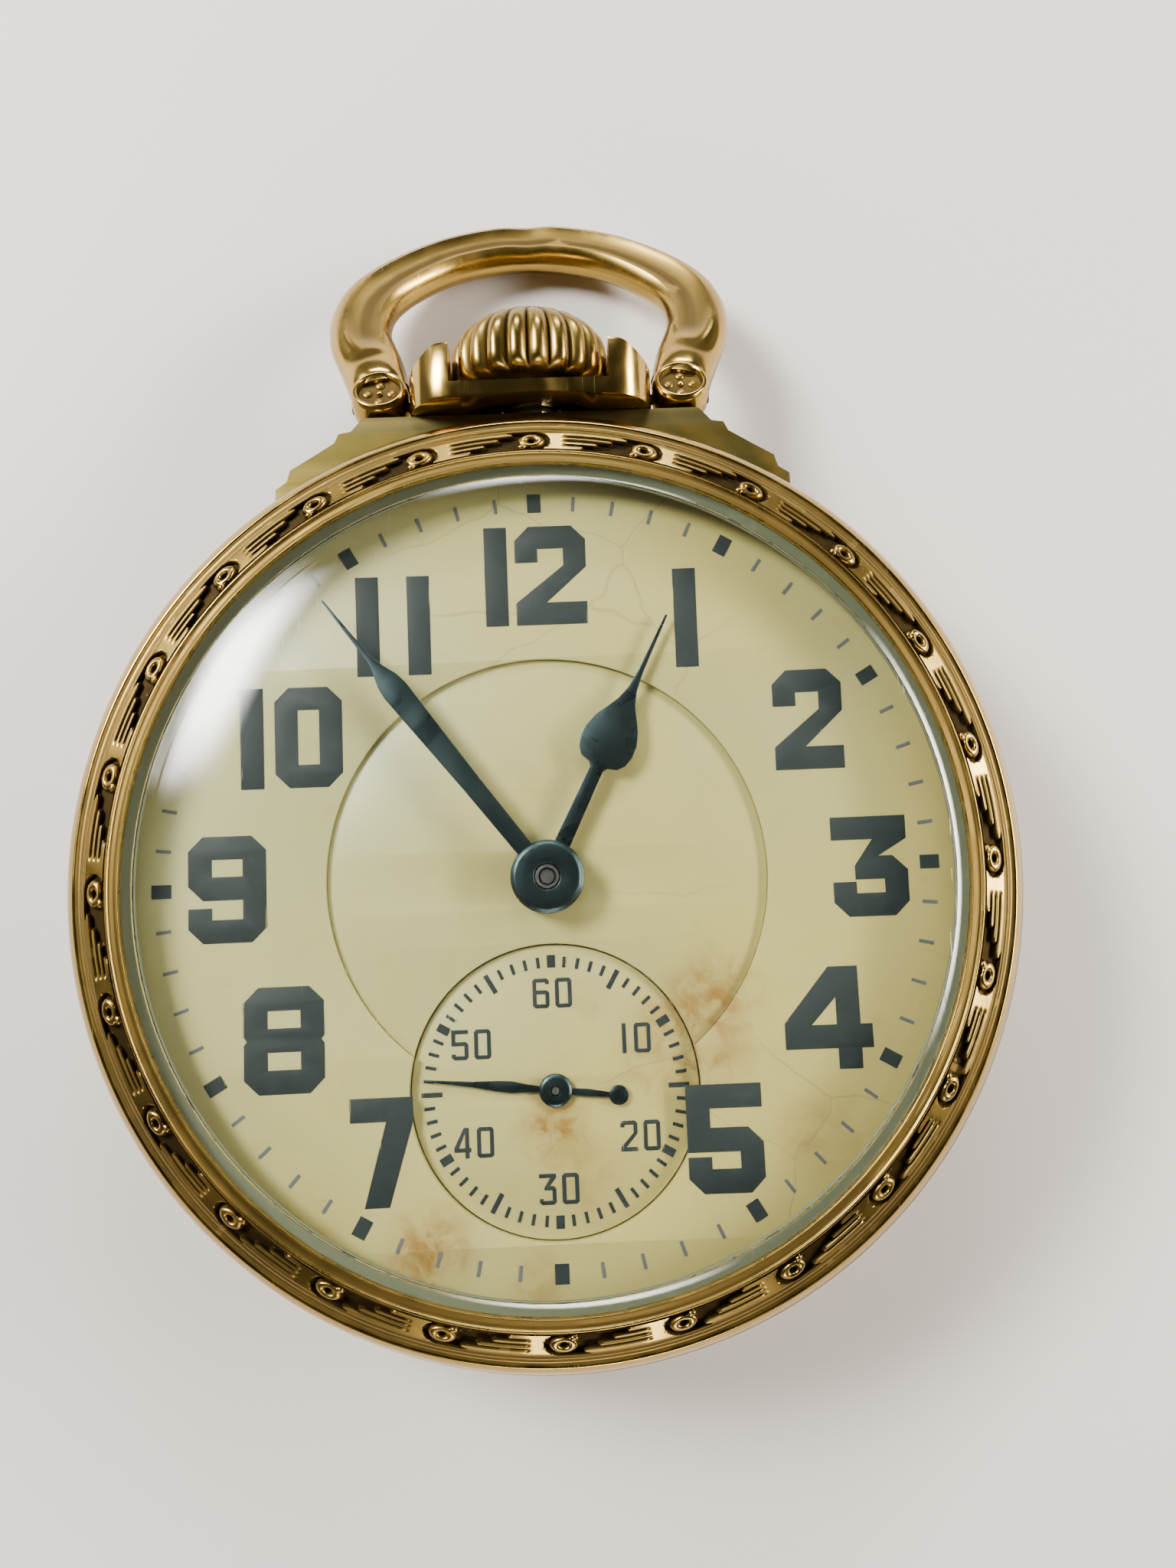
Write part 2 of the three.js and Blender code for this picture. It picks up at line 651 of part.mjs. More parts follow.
const jewel = () => ring(JEWEL.inner, JEWEL.outer - 0.05, JEWEL.bottom, JEWEL.top, SMALL);

const COCK = { bottom: 2.15, top: 2.95 };

function balanceCock() {
  const along = Math.atan2(BALANCE[1] - COCK_SCREW[1], BALANCE[0] - COCK_SCREW[0]);
  const length = Math.hypot(BALANCE[0] - COCK_SCREW[0], BALANCE[1] - COCK_SCREW[1]);
  const shape = new THREE.Shape();
  shape.absarc(0, 0, 1.75, 60 * DEG, 300 * DEG, false);
  shape.lineTo(length - 2.0, -1.7);
  shape.absarc(length, 0, 2.6, 220 * DEG, 500 * DEG, false);
  const options = { depth: COCK.top - COCK.bottom, bevelEnabled: false, curveSegments: 5 };
  const arm = new THREE.ExtrudeGeometry(shape, options).rotateZ(along);
  const foot = disc(1.75, COCK.bottom, PLATE.bottom, MEDIUM, COCK_SCREW);
  return solid(arm.translate(COCK_SCREW[0], COCK_SCREW[1], COCK.bottom))
    .add(foot)
    .subtract(disc(SCREW_HOLE, 2, 7, SMALL, COCK_SCREW))
    .subtract(disc(0.95, 2, 4, MEDIUM, BALANCE));
}

function palletCock() {
  const [dx, dy] = [PALLET[0] - PALLET_SCREW[0], PALLET[1] - PALLET_SCREW[1]];
  const middle = [(PALLET[0] + PALLET_SCREW[0]) / 2, (PALLET[1] + PALLET_SCREW[1]) / 2];
  const arm = solid(new THREE.BoxGeometry(Math.hypot(dx, dy), 1.2, 0.55)
    .rotateZ(Math.atan2(dy, dx)).translate(middle[0], middle[1], 4.72));
  return arm
    .add(disc(0.95, 4.45, 5.0, SMALL, PALLET))
    .add(disc(1.05, 4.45, PLATE.bottom, SMALL, PALLET_SCREW))
    .subtract(disc(PIVOT_HOLE, 4, 6, SMALL, PALLET))
    .subtract(disc(SCREW_HOLE, 4, 7, SMALL, PALLET_SCREW));
}

// A slotted screw whose head faces the back.
function screw(headRadius, headBottom, headTop, tip) {
  const body = turned([
    [0, headBottom], [headRadius, headBottom], [headRadius, headTop], [0.38, headTop], [0.38, tip], [0, tip],
  ], SMALL);
  return body.subtract(block([0, 0], 3 * headRadius, 0.22, headBottom - 1, headBottom + 0.15, 0.6));
}

// ---------------------------------------------------------------- barrel and winding wheels

const barrelTeeth = [5.0, 5.5];
const barrelPhase = meshPhase(GEAR.centrePinion, 0, CENTRE, GEAR.barrel, BARREL);

function barrel() {
  const drum = turned([
    [1.4, 4.95], [8.5, 4.95], [8.5, 7.0], [8.2, 7.0], [8.2, 5.35], [1.4, 5.35], [1.4, 4.95],
  ], MEDIUM);
  const teeth = gearBody(GEAR.barrel, ...barrelTeeth, barrelPhase).subtract(disc(8.3, 4, 6, MEDIUM));
  return drum.add(teeth);
}

const barrelCover = ring(1.4, 8.05, 6.7, 7.0, MEDIUM);

const barrelArbor = turned([
  [0, 2.35], [0.7, 2.35], [0.7, 2.9], [1.15, 2.9], [1.15, 7.05], [0.8, 7.05], [0.8, 8.0], [0, 8.0],
], MEDIUM);

// A spiral strip wound about the axis, seen flat.
function spiral(innerRadius, outerRadius, turns, thickness, bottom, top, stepsPerTurn) {
  const steps = turns * stepsPerTurn;
  const edge = (offset) => Array.from({ length: steps + 1 }, (_, i) => {
    const radius = innerRadius + (outerRadius - innerRadius) * (i / steps) + offset;
    return polar(radius, (i / stepsPerTurn) * TURN);
  });
  return flat(outlineOf([...edge(thickness / 2), ...edge(-thickness / 2).reverse()]), bottom, top);
}

const mainspring = spiral(1.9, 7.7, 4, 0.3, 5.5, 6.55, 12);

const ratchetWheel = gearBody(GEAR.ratchet, ...RATCHET_LEVEL).subtract(disc(0.8, 2, 3, SMALL));
const crownWheelPhase = meshPhase(GEAR.ratchet, 0, BARREL, GEAR.crownWheel, CROWN_WHEEL);
const crownWheel = gearBody(GEAR.crownWheel, ...RATCHET_LEVEL, crownWheelPhase)
  .add(disc(1.5, 2.5, 5.2, MEDIUM))
  .add(disc(2.4, 5.0, 5.8, MEDIUM))
  .subtract(disc(0.5, 2, 4.6, SMALL));

const windingPinion = ring(0.75, 1.3, 15.9, 18.3, SMALL);
const clutch = ring(0.75, 1.15, 13.5, 15.6, SMALL);

// The pawl beside the ratchet wheel: a round heel and a beak.
const CLICK_ANGLE = 105 * DEG;
const CLICK_AT = [BARREL[0] + 9.0 * Math.cos(CLICK_ANGLE), BARREL[1] + 9.0 * Math.sin(CLICK_ANGLE)];

function click() {
  const beak = flat(outlineOf([[-0.5, 0.7], [0.2, -0.8], [-2.3, -1.75], [-2.45, -1.4]]), ...RATCHET_LEVEL);
  return beak.add(disc(0.95, ...RATCHET_LEVEL, SMALL)).subtract(disc(0.5, 2, 3, SMALL));
}

// ---------------------------------------------------------------- going train

function train(gear, level, count, bore) {
  const root = rootRadius(gear);
  let wheel = gearBody(gear, ...level);
  for (const window of windows(count, 0.3 * root, 0.82 * root, 0.9, level[0] - 1, level[1] + 1)) {
    wheel = wheel.subtract(window);
  }
  return wheel.subtract(disc(bore, level[0] - 1, level[1] + 1, SMALL));
}

const centreWheel = train(GEAR.centre, [4.4, 4.65], 4, 0.5);
const centrePinion = gearBody(GEAR.centrePinion, 4.9, 5.9)
  .add(disc(0.45, 4.1, 7.6, SMALL))
  .add(disc(0.2, 3.2, 4.2, SMALL))
  .add(disc(0.38, 7.4, 10.7, SMALL));

const thirdWheel = train(GEAR.third, [6.0, 6.25], 4, 0.36);
const thirdPhase = meshPhase(GEAR.centre, 0, CENTRE, GEAR.thirdPinion, THIRD);
const thirdPinion = gearBody(GEAR.thirdPinion, 4.35, 4.75, thirdPhase)
  .add(disc(0.33, 4.1, 6.4, SMALL))
  .add(disc(0.2, 3.2, 7.4, SMALL));

const fourthWheel = train(GEAR.fourth, [5.15, 5.4], 4, 0.3);
const fourthPhase = meshPhase(GEAR.third, 0, THIRD, GEAR.fourthPinion, FOURTH);
const fourthPinion = gearBody(GEAR.fourthPinion, 5.9, 6.35, fourthPhase)
  .add(disc(0.27, 4.3, 6.5, SMALL))
  .add(disc(0.2, 3.2, 9.45, SMALL));

function escapeWheel() {
  const points = [];
  for (let i = 0; i < ESCAPE_WHEEL.teeth; i++) {
    const at = (share) => ((i + share) / ESCAPE_WHEEL.teeth) * TURN;
    points.push(polar(ESCAPE_WHEEL.root, at(0.1)));
    points.push(polar(ESCAPE_WHEEL.tip, at(0.0)));
    points.push(polar(ESCAPE_WHEEL.tip - 0.06, at(0.16)));
    points.push(polar(ESCAPE_WHEEL.root, at(0.32)));
  }
  let wheel = flat(outlineOf(points), 5.9, 6.1);
  for (const window of windows(4, 0.7, 1.65, 0.5, 5, 7)) wheel = wheel.subtract(window);
  return wheel.subtract(disc(0.25, 5, 7, SMALL));
}

const escapePhase = meshPhase(GEAR.fourth, 0, FOURTH, GEAR.escapePinion, ESCAPE);
const escapePinion = gearBody(GEAR.escapePinion, 5.1, 5.5, escapePhase)
  .add(disc(0.22, 4.3, 6.3, SMALL))
  .add(disc(0.17, 3.2, 7.4, SMALL));

// ---------------------------------------------------------------- escapement and balance

// Drawn with the escape wheel towards -X and the balance towards +X.
function palletFork() {
  const lever = outlineOf([
    [0.5, 0.3], [3.7, 0.22], [4.0, 0.62], [4.45, 0.62], [4.15, 0.2],
    [4.15, -0.2], [4.45, -0.62], [4.0, -0.62], [3.7, -0.22], [0.5, -0.3],
  ]);
  const stoneAt = (side) => {
    const [x, y] = polar(ESCAPE_WHEEL.tip + 0.1, side * 31 * DEG);
    return [x - 3.0, y];
  };
  let fork = flat(lever, 5.9, 6.1).add(disc(0.6, 5.85, 6.15, SMALL));
  for (const side of [-1, 1]) {
    const [x, y] = stoneAt(side);
    const arm = outlineOf([[0.3, side * 0.2], [x, y], [x + 0.25, y + side * 0.3], [0.3, side * 0.55]]);
    fork = fork.add(flat(arm, 5.9, 6.1));
  }
  return fork.add(disc(0.2, 4.5, 7.4, SMALL));
}

const forkTurn = Math.atan2(BALANCE[1] - PALLET[1], BALANCE[0] - PALLET[0]);

function balanceWheel() {
  const { rim, rimWidth, bottom, top } = BALANCE_WHEEL;
  return ring(rim - rimWidth, rim, bottom, top, MEDIUM)
    .add(block([0, 0], 2 * (rim - 0.2), 0.9, bottom + 0.2, top - 0.25))
    .add(disc(0.8, bottom + 0.1, top - 0.1, SMALL))
    .subtract(disc(0.36, 3, 5, SMALL));
}

const balanceStaff = disc(0.3, 3.1, 6.4, SMALL)
  .add(disc(0.15, 2.5, 7.4, SMALL))
  .add(disc(1.0, 5.45, 5.8, MEDIUM));

const hairspring = spiral(0.65, 2.9, 4, 0.1, 3.12, 3.32, 10);

function regulator() {
  const pointer = outlineOf([[1.5, 0.3], [4.6, 0.1], [4.6, -0.1], [1.5, -0.3]]);
  return ring(1.15, 1.75, 1.75, 2.1, MEDIUM).add(flat(pointer, 1.75, 2.05));
}

const balanceJewel = turned([[0, 1.95], [0.9, 1.95], [0.9, 2.45], [0, 2.45]], SMALL);

const leverLength = LEVER.end - LEVER.start;
const leverMiddle = [0, LEVER.start + leverLength / 2];
const settingLever = block(leverMiddle, LEVER.width, leverLength, LEVER.bottom, LEVER.top);

// ---------------------------------------------------------------- assembly

const watch = new THREE.Group();

watch.add(
  piece('back_cover', GOLD, backCover),
  piece('case_band', GOLD, caseBand()),
  piece('bezel', GOLD, bezel),
  piece('crystal', GLASS, crystal),
  alongStem(
    piece('pendant_neck', GOLD, pendantNeck()),
    piece('pendant_sleeve', STEEL, ring(SLEEVE.inner, SLEEVE.outer, SLEEVE.start, SLEEVE.end, MEDIUM)),
    piece('winding_stem', STEEL, windingStem),
    piece('crown', GOLD, crownBody()),
    piece('winding_pinion', STEEL, windingPinion),
    piece('clutch', STEEL, clutch),
  ),
  bowGroup,
  bowScrew(-1),
  bowScrew(1),
);

watch.add(
  piece('dial_ring', ENAMEL, dialRing()),
  piece('dial_centre', ENAMEL, dialCentre()),
  piece('seconds_dial', ENAMEL, secondsDial, FOURTH),
  piece('hour_hand', BLUED_STEEL, hourHand(), CENTRE, hourTurn),
  piece('minute_hand', BLUED_STEEL, minuteHand(), CENTRE, minuteTurn),
  piece('seconds_hand', BLUED_STEEL, secondsHand(), FOURTH, secondsTurn),
  piece('cannon_pinion', STEEL, cannonPinion()),
  piece('hour_wheel', BRASS, hourWheel()),
  piece('minute_wheel', BRASS, minuteWheel(), MINUTE_WHEEL),
  piece('setting_lever', STEEL, settingLever, CENTRE, LEVER_ANGLE - 90 * DEG),
);

watch.add(
  piece('pillar_plate', NICKEL, pillarPlate()),
  piece('barrel_bridge', NICKEL, barrelBridge()),
  piece('train_bridge', NICKEL, trainBridge()),
  piece('balance_cock', NICKEL, balanceCock()),
  piece('pallet_cock', NICKEL, palletCock()),
  piece('centre_jewel', RUBY, jewel(), CENTRE),
  piece('third_jewel', RUBY, jewel(), THIRD),
  piece('fourth_jewel', RUBY, jewel(), FOURTH),
  piece('escape_jewel', RUBY, jewel(), ESCAPE),
  piece('balance_jewel', RUBY, balanceJewel, BALANCE),
  piece('balance_cock_screw', BLUED_STEEL, screw(0.95, 1.95, 2.15, 7.3), COCK_SCREW),
  ...Object.entries(BRIDGE_SCREWS).map(([name, at]) => piece(name, BLUED_STEEL, screw(0.9, 2.55, 2.9, 7.3), at)),
  ...CASE_SCREW_ANGLES.map((angle, i) => (
    piece(`case_screw_${i + 1}`, BLUED_STEEL, screw(1.6, 3.8, 4.3, 7.3), CASE_SCREWS[i], angle))),
);

watch.add(
  piece('barrel', BRASS, barrel(), BARREL),
  piece('barrel_cover', BRASS, barrelCover, BARREL),
  piece('barrel_arbor', STEEL, barrelArbor, BARREL),
  piece('mainspring', BLUED_STEEL, mainspring, BARREL),
  piece('ratchet_wheel', STEEL, ratchetWheel, BARREL),
  piece('crown_wheel', STEEL, crownWheel, CROWN_WHEEL),
  piece('click', STEEL, click(), CLICK_AT, CLICK_ANGLE - 90 * DEG),
  piece('centre_wheel', BRASS, centreWheel),
  piece('centre_pinion', STEEL, centrePinion),
  piece('third_wheel', BRASS, thirdWheel, THIRD),
  piece('third_pinion', STEEL, thirdPinion, THIRD),
  piece('fourth_wheel', BRASS, fourthWheel, FOURTH),
  piece('fourth_pinion', STEEL, fourthPinion, FOURTH),
  piece('escape_wheel', STEEL, escapeWheel(), ESCAPE),
  piece('escape_pinion', STEEL, escapePinion, ESCAPE),
  piece('pallet_fork', STEEL, palletFork(), PALLET, forkTurn),
  piece('balance_wheel', BRASS, balanceWheel(), BALANCE, 20 * DEG),
  piece('balance_staff', STEEL, balanceStaff, BALANCE),
  piece('hairspring', BLUED_STEEL, hairspring, BALANCE),
  piece('regulator', STEEL, regulator(), BALANCE, 100 * DEG),
);

export default watch;
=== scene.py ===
"""Looks of an open-face pocket watch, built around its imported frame.

Lengths are in millimetres in the tables and functions below, and become metres when a mesh is made.
"""

import json
import math

import bmesh
import bpy
import numpy as np
from mathutils import Matrix, Vector


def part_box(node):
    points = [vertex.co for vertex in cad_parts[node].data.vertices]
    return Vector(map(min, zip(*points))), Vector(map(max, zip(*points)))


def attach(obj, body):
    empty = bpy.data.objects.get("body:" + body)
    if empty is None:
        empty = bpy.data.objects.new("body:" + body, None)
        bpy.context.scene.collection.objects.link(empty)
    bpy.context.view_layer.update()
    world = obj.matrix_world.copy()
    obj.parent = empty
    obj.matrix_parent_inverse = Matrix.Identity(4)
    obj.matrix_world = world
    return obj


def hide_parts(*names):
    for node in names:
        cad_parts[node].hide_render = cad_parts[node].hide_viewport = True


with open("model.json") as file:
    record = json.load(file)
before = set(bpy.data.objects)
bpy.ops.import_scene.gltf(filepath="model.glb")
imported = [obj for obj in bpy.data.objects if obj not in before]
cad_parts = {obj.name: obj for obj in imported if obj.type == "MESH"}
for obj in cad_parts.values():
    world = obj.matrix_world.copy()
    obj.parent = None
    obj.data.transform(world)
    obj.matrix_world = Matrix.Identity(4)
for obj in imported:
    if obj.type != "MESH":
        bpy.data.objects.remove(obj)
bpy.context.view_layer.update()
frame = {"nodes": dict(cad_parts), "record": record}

bl_info = {
    "name": "Pocket Watch",
    "version": (1, 0, 0),
    "blender": (4, 5, 0),
    "location": "View3D > Sidebar > Watch",
    "description": "Builds the case, dial, hands and movement of an open-face pocket watch",
    "category": "Add Mesh",
}

MM = 0.001
TAU = 2 * math.pi


def corner(node, which):
    """Lowest (0) or highest (1) corner of a node of the frame, in millimetres."""
    return tuple(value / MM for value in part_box(node)[which])


# ---------------------------------------------------------------- sizes taken from the frame

DIAL_TOP = corner("dial_ring", 1)[2]
DIAL_RADIUS = corner("dial_ring", 1)[0]
CENTRE_TOP = corner("dial_centre", 1)[2]
SECONDS_TOP = corner("seconds_dial", 1)[2]
BEZEL_RADIUS = corner("bezel", 1)[0]
BAND_RADIUS = 25.4
BAND_BOTTOM = corner("back_cover", 1)[2]
BAND_TOP = corner("bezel", 0)[2]
CRYSTAL_TOP = corner("crystal", 1)[2]
STEM_Z = (corner("crown", 0)[2] + corner("crown", 1)[2]) / 2
CROWN_BOTTOM, CROWN_TOP = corner("crown", 0)[1], corner("crown", 1)[1]
CROWN_RADIUS = corner("crown", 1)[0]
NECK_BOTTOM, NECK_TOP = corner("pendant_neck", 0)[1], corner("pendant_neck", 1)[1]
NECK_HALF = corner("pendant_neck", 1)[0]
NECK_DEPTH = (corner("pendant_neck", 1)[2] - corner("pendant_neck", 0)[2]) / 2
NECK_FLOOR = 26.15  # bottom of the notch that the crown turns in
NOTCH = 4.65  # half the width of the notch


def joint_place(name):
    """A joint's point in millimetres."""
    joint = next(j for j in frame["record"]["behaviour"]["joints"] if j["name"] == name)
    return tuple(value / MM for value in joint["pos_m"])


FOURTH = joint_place("seconds_turn")[:2]
BALANCE = joint_place("balance_swing")[:2]
BOW_PIVOT = joint_place("bow_swing")
BOSS_X = 8.3  # distance from the middle to the round end of the bow
BOSS_ROOM = 2.0  # radius of the hollow in the shoulder that the round end turns in
CENTRE = (0.0, 0.0)

CENTRE_RADIUS = 11.3  # edge of the sunk middle of the dial
SECONDS_RADIUS = 7.34
TRACK_RADIUS = 19.5  # middle of the minute marks
PRINT = 0.02  # thickness of the print on the enamel
LEVER_ANGLE = math.radians(60)  # way that the setting lever is pulled
LEVER_POCKET = 2.4  # width of the room round it
PALLET_SCREW = (-7.29, -15.98)  # place of the pallet cock's screw


# ---------------------------------------------------------------- mesh tools

def finish_mesh(name, vertices, faces, material, crease=35.0, dark=None):
    """A closed mesh from millimetres, with its doubles merged and its faces turned outwards."""
    mesh = bpy.data.meshes.new(name)
    mesh.from_pydata([tuple(v) for v in vertices], [], faces)
    if dark is not None:
        mesh.attributes.new("dark", "FLOAT", "POINT").data.foreach_set("value", np.ravel(dark))
    shape = bmesh.new()
    shape.from_mesh(mesh)
    bmesh.ops.remove_doubles(shape, verts=shape.verts, dist=1e-4)
    bmesh.ops.dissolve_degenerate(shape, edges=shape.edges, dist=1e-5)
    if shape.calc_volume(signed=True) < 0:
        bmesh.ops.reverse_faces(shape, faces=shape.faces)
    bmesh.ops.scale(shape, vec=(MM, MM, MM), verts=shape.verts)
    shape.to_mesh(mesh)
    shape.free()
    return add_object(name, mesh, material, crease)


def add_object(name, mesh, material, crease=35.0):
    """An object at the origin with one material, smooth but for the edges sharper than crease."""
    mesh.name = name
    mesh.materials.clear()
    mesh.materials.append(material)
    mesh.shade_smooth()
    mesh.set_sharp_from_angle(angle=math.radians(crease))
    piece = bpy.data.objects.new(name, mesh)
    bpy.context.scene.collection.objects.link(piece)
    return piece


def grid_piece(name, rows, material, wrap_rows=False, wrap_columns=True, crease=35.0, dark=None):
    """A mesh from rows of points, as an array of rows x columns x 3; dark is how far each point is painted
    dark: painted shade and painted reflection.
    """
    rows = np.asarray(rows, dtype=float)
    count, width = rows.shape[:2]
    faces = []
    for i in range(count if wrap_rows else count - 1):
        below, above = i * width, ((i + 1) % count) * width
        for k in range(width if wrap_columns else width - 1):
            after = (k + 1) % width
            faces.append((below + k, below + after, above + after, above + k))
    return finish_mesh(name, rows.reshape(-1, 3), faces, material, crease, dark)


def softened(points, size, steps=3, closed=False):
    """The outline with each corner rounded by a short curve."""
    points = [Vector(p) for p in points]
    result = []
    last = len(points) - 1
    for i, point in enumerate(points):
        if not closed and i in (0, last):
            result.append(tuple(point))
            continue
        before, after = points[i - 1], points[(i + 1) % len(points)]
        reach = min(size, (before - point).length * 0.45, (after - point).length * 0.45)
        start = point + (before - point).normalized() * reach
        end = point + (after - point).normalized() * reach
        for k in range(steps + 1):
            t = k / steps
            result.append(tuple((1 - t) ** 2 * start + 2 * t * (1 - t) * point + t * t * end))
    return result


def turned(name, profile, material, sides=160, at=CENTRE, closed=False, soft=0.08, crease=35.0, dark=None):
    """A piece turned about Z from a profile of (radius, height).

    Its corners are rounded by soft, and dark gives how far it is painted dark (painted shade) for a radius
    and height.
    """
    if soft:
        profile = softened(profile, soft, closed=closed)
    angles = np.arange(sides) / sides * TAU
    rows = [
        np.stack([at[0] + r * np.cos(angles), at[1] + r * np.sin(angles), np.full(sides, z)], axis=1)
        for r, z in profile
    ]
    painted_dark = None if dark is None else [np.full(sides, float(dark(r, z))) for r, z in profile]
    return grid_piece(name, rows, material, wrap_rows=closed, crease=crease, dark=painted_dark)


def polar(radius, angle):
    return (radius * math.cos(angle), radius * math.sin(angle))


def circle(radius, at=CENTRE, sides=64):
    return [(at[0] + x, at[1] + y) for x, y in (polar(radius, k / sides * TAU) for k in range(sides))]


def cut_out(name, loops, bottom, top, material, bevel=0.03, at=CENTRE, turn=0.0, crease=35.0):
    """A flat piece with bevelled edges; a loop inside another is a hole."""
    curve = bpy.data.curves.new(name, "CURVE")
    curve.dimensions = "2D"
    curve.fill_mode = "BOTH"
    curve.extrude = max((top - bottom) / 2 - bevel, 1e-4)
    curve.bevel_depth = bevel
    curve.bevel_resolution = 1
    curve.offset = -bevel
    for loop in loops:
        spline = curve.splines.new("POLY")
        spline.points.add(len(loop) - 1)
        spline.points.foreach_set("co", [value for x, y in loop for value in (x, y, 0.0, 1.0)])
        spline.use_cyclic_u = True
    holder = bpy.data.objects.new(name, curve)
    bpy.context.scene.collection.objects.link(holder)
    bpy.context.view_layer.update()
    mesh = bpy.data.meshes.new_from_object(holder.evaluated_get(bpy.context.evaluated_depsgraph_get()))
    bpy.data.objects.remove(holder)
    bpy.data.curves.remove(curve)
    shape = bmesh.new()
    shape.from_mesh(mesh)
    bmesh.ops.remove_doubles(shape, verts=shape.verts, dist=1e-4)
    bmesh.ops.recalc_face_normals(shape, faces=shape.faces)
    if shape.calc_volume(signed=True) < 0:
        bmesh.ops.reverse_faces(shape, faces=shape.faces)
    place = Matrix.Translation((at[0], at[1], (bottom + top) / 2)) @ Matrix.Rotation(turn, 4, "Z")
    bmesh.ops.transform(shape, matrix=Matrix.Scale(MM, 4) @ place, verts=shape.verts)
    shape.to_mesh(mesh)
    shape.free()
    return add_object(name, mesh, material, crease)


def joined(name, pieces):
    """Several pieces of one material as one piece that keeps how far each is painted dark."""
    shape = bmesh.new()
    dark = []
    for piece in pieces:
        painted_dark = np.zeros(len(piece.data.vertices))
        if "dark" in piece.data.attributes:
            piece.data.attributes["dark"].data.foreach_get("value", painted_dark)
            piece.data.attributes.remove(piece.data.attributes["dark"])
        dark.append(painted_dark)
        shape.from_mesh(piece.data)
    mesh = bpy.data.meshes.new(name)
    shape.to_mesh(mesh)
    shape.free()
    mesh.attributes.new("dark", "FLOAT", "POINT").data.foreach_set("value", np.concatenate(dark))
    material = pieces[0].data.materials[0]
    for piece in pieces:
        bpy.data.objects.remove(piece)
    return add_object(name, mesh, material)


def moved(piece, matrix):
    """The piece with its mesh moved by a matrix whose lengths are in millimetres."""
    to_metres = Matrix.Scale(MM, 4)
    piece.data.transform(to_metres @ matrix @ to_metres.inverted())
    piece.data.update()
    return piece


def boolean(piece, cutters):
    """The piece with the cutters taken away from it."""
    for cutter in cutters:
        change = piece.modifiers.new("cut", "BOOLEAN")
        change.operation = "DIFFERENCE"
        change.object = cutter
        change.solver = "EXACT"
    bpy.context.view_layer.update()
    mesh = bpy.data.meshes.new_from_object(piece.evaluated_get(bpy.context.evaluated_depsgraph_get()))
    piece.modifiers.clear()
    name, material = piece.name, piece.data.materials[0]
    for old in [piece, *cutters]:
        bpy.data.objects.remove(old)
    return add_object(name, mesh, material)


def placed(piece, body, slot, *replaced):
    """Attaches a piece to the body it rides on and hides the frame nodes it stands for; slot, its finish,
    is not used.
    """
    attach(piece, body)
    if replaced:
        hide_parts(*replaced)
    return piece


# ---------------------------------------------------------------- geometry nodes

def node_tree(name, sizes):
    """An empty geometry node tree with the named inputs and one geometry output."""
    tree = bpy.data.node_groups.new(name, "GeometryNodeTree")
    for label, kind, default in sizes:
        socket = tree.interface.new_socket(name=label, in_out="INPUT", socket_type=kind)
        if default is not None:
            socket.default_value = default
    tree.interface.new_socket(name="Geometry", in_out="OUTPUT", socket_type="NodeSocketGeometry")
    return tree


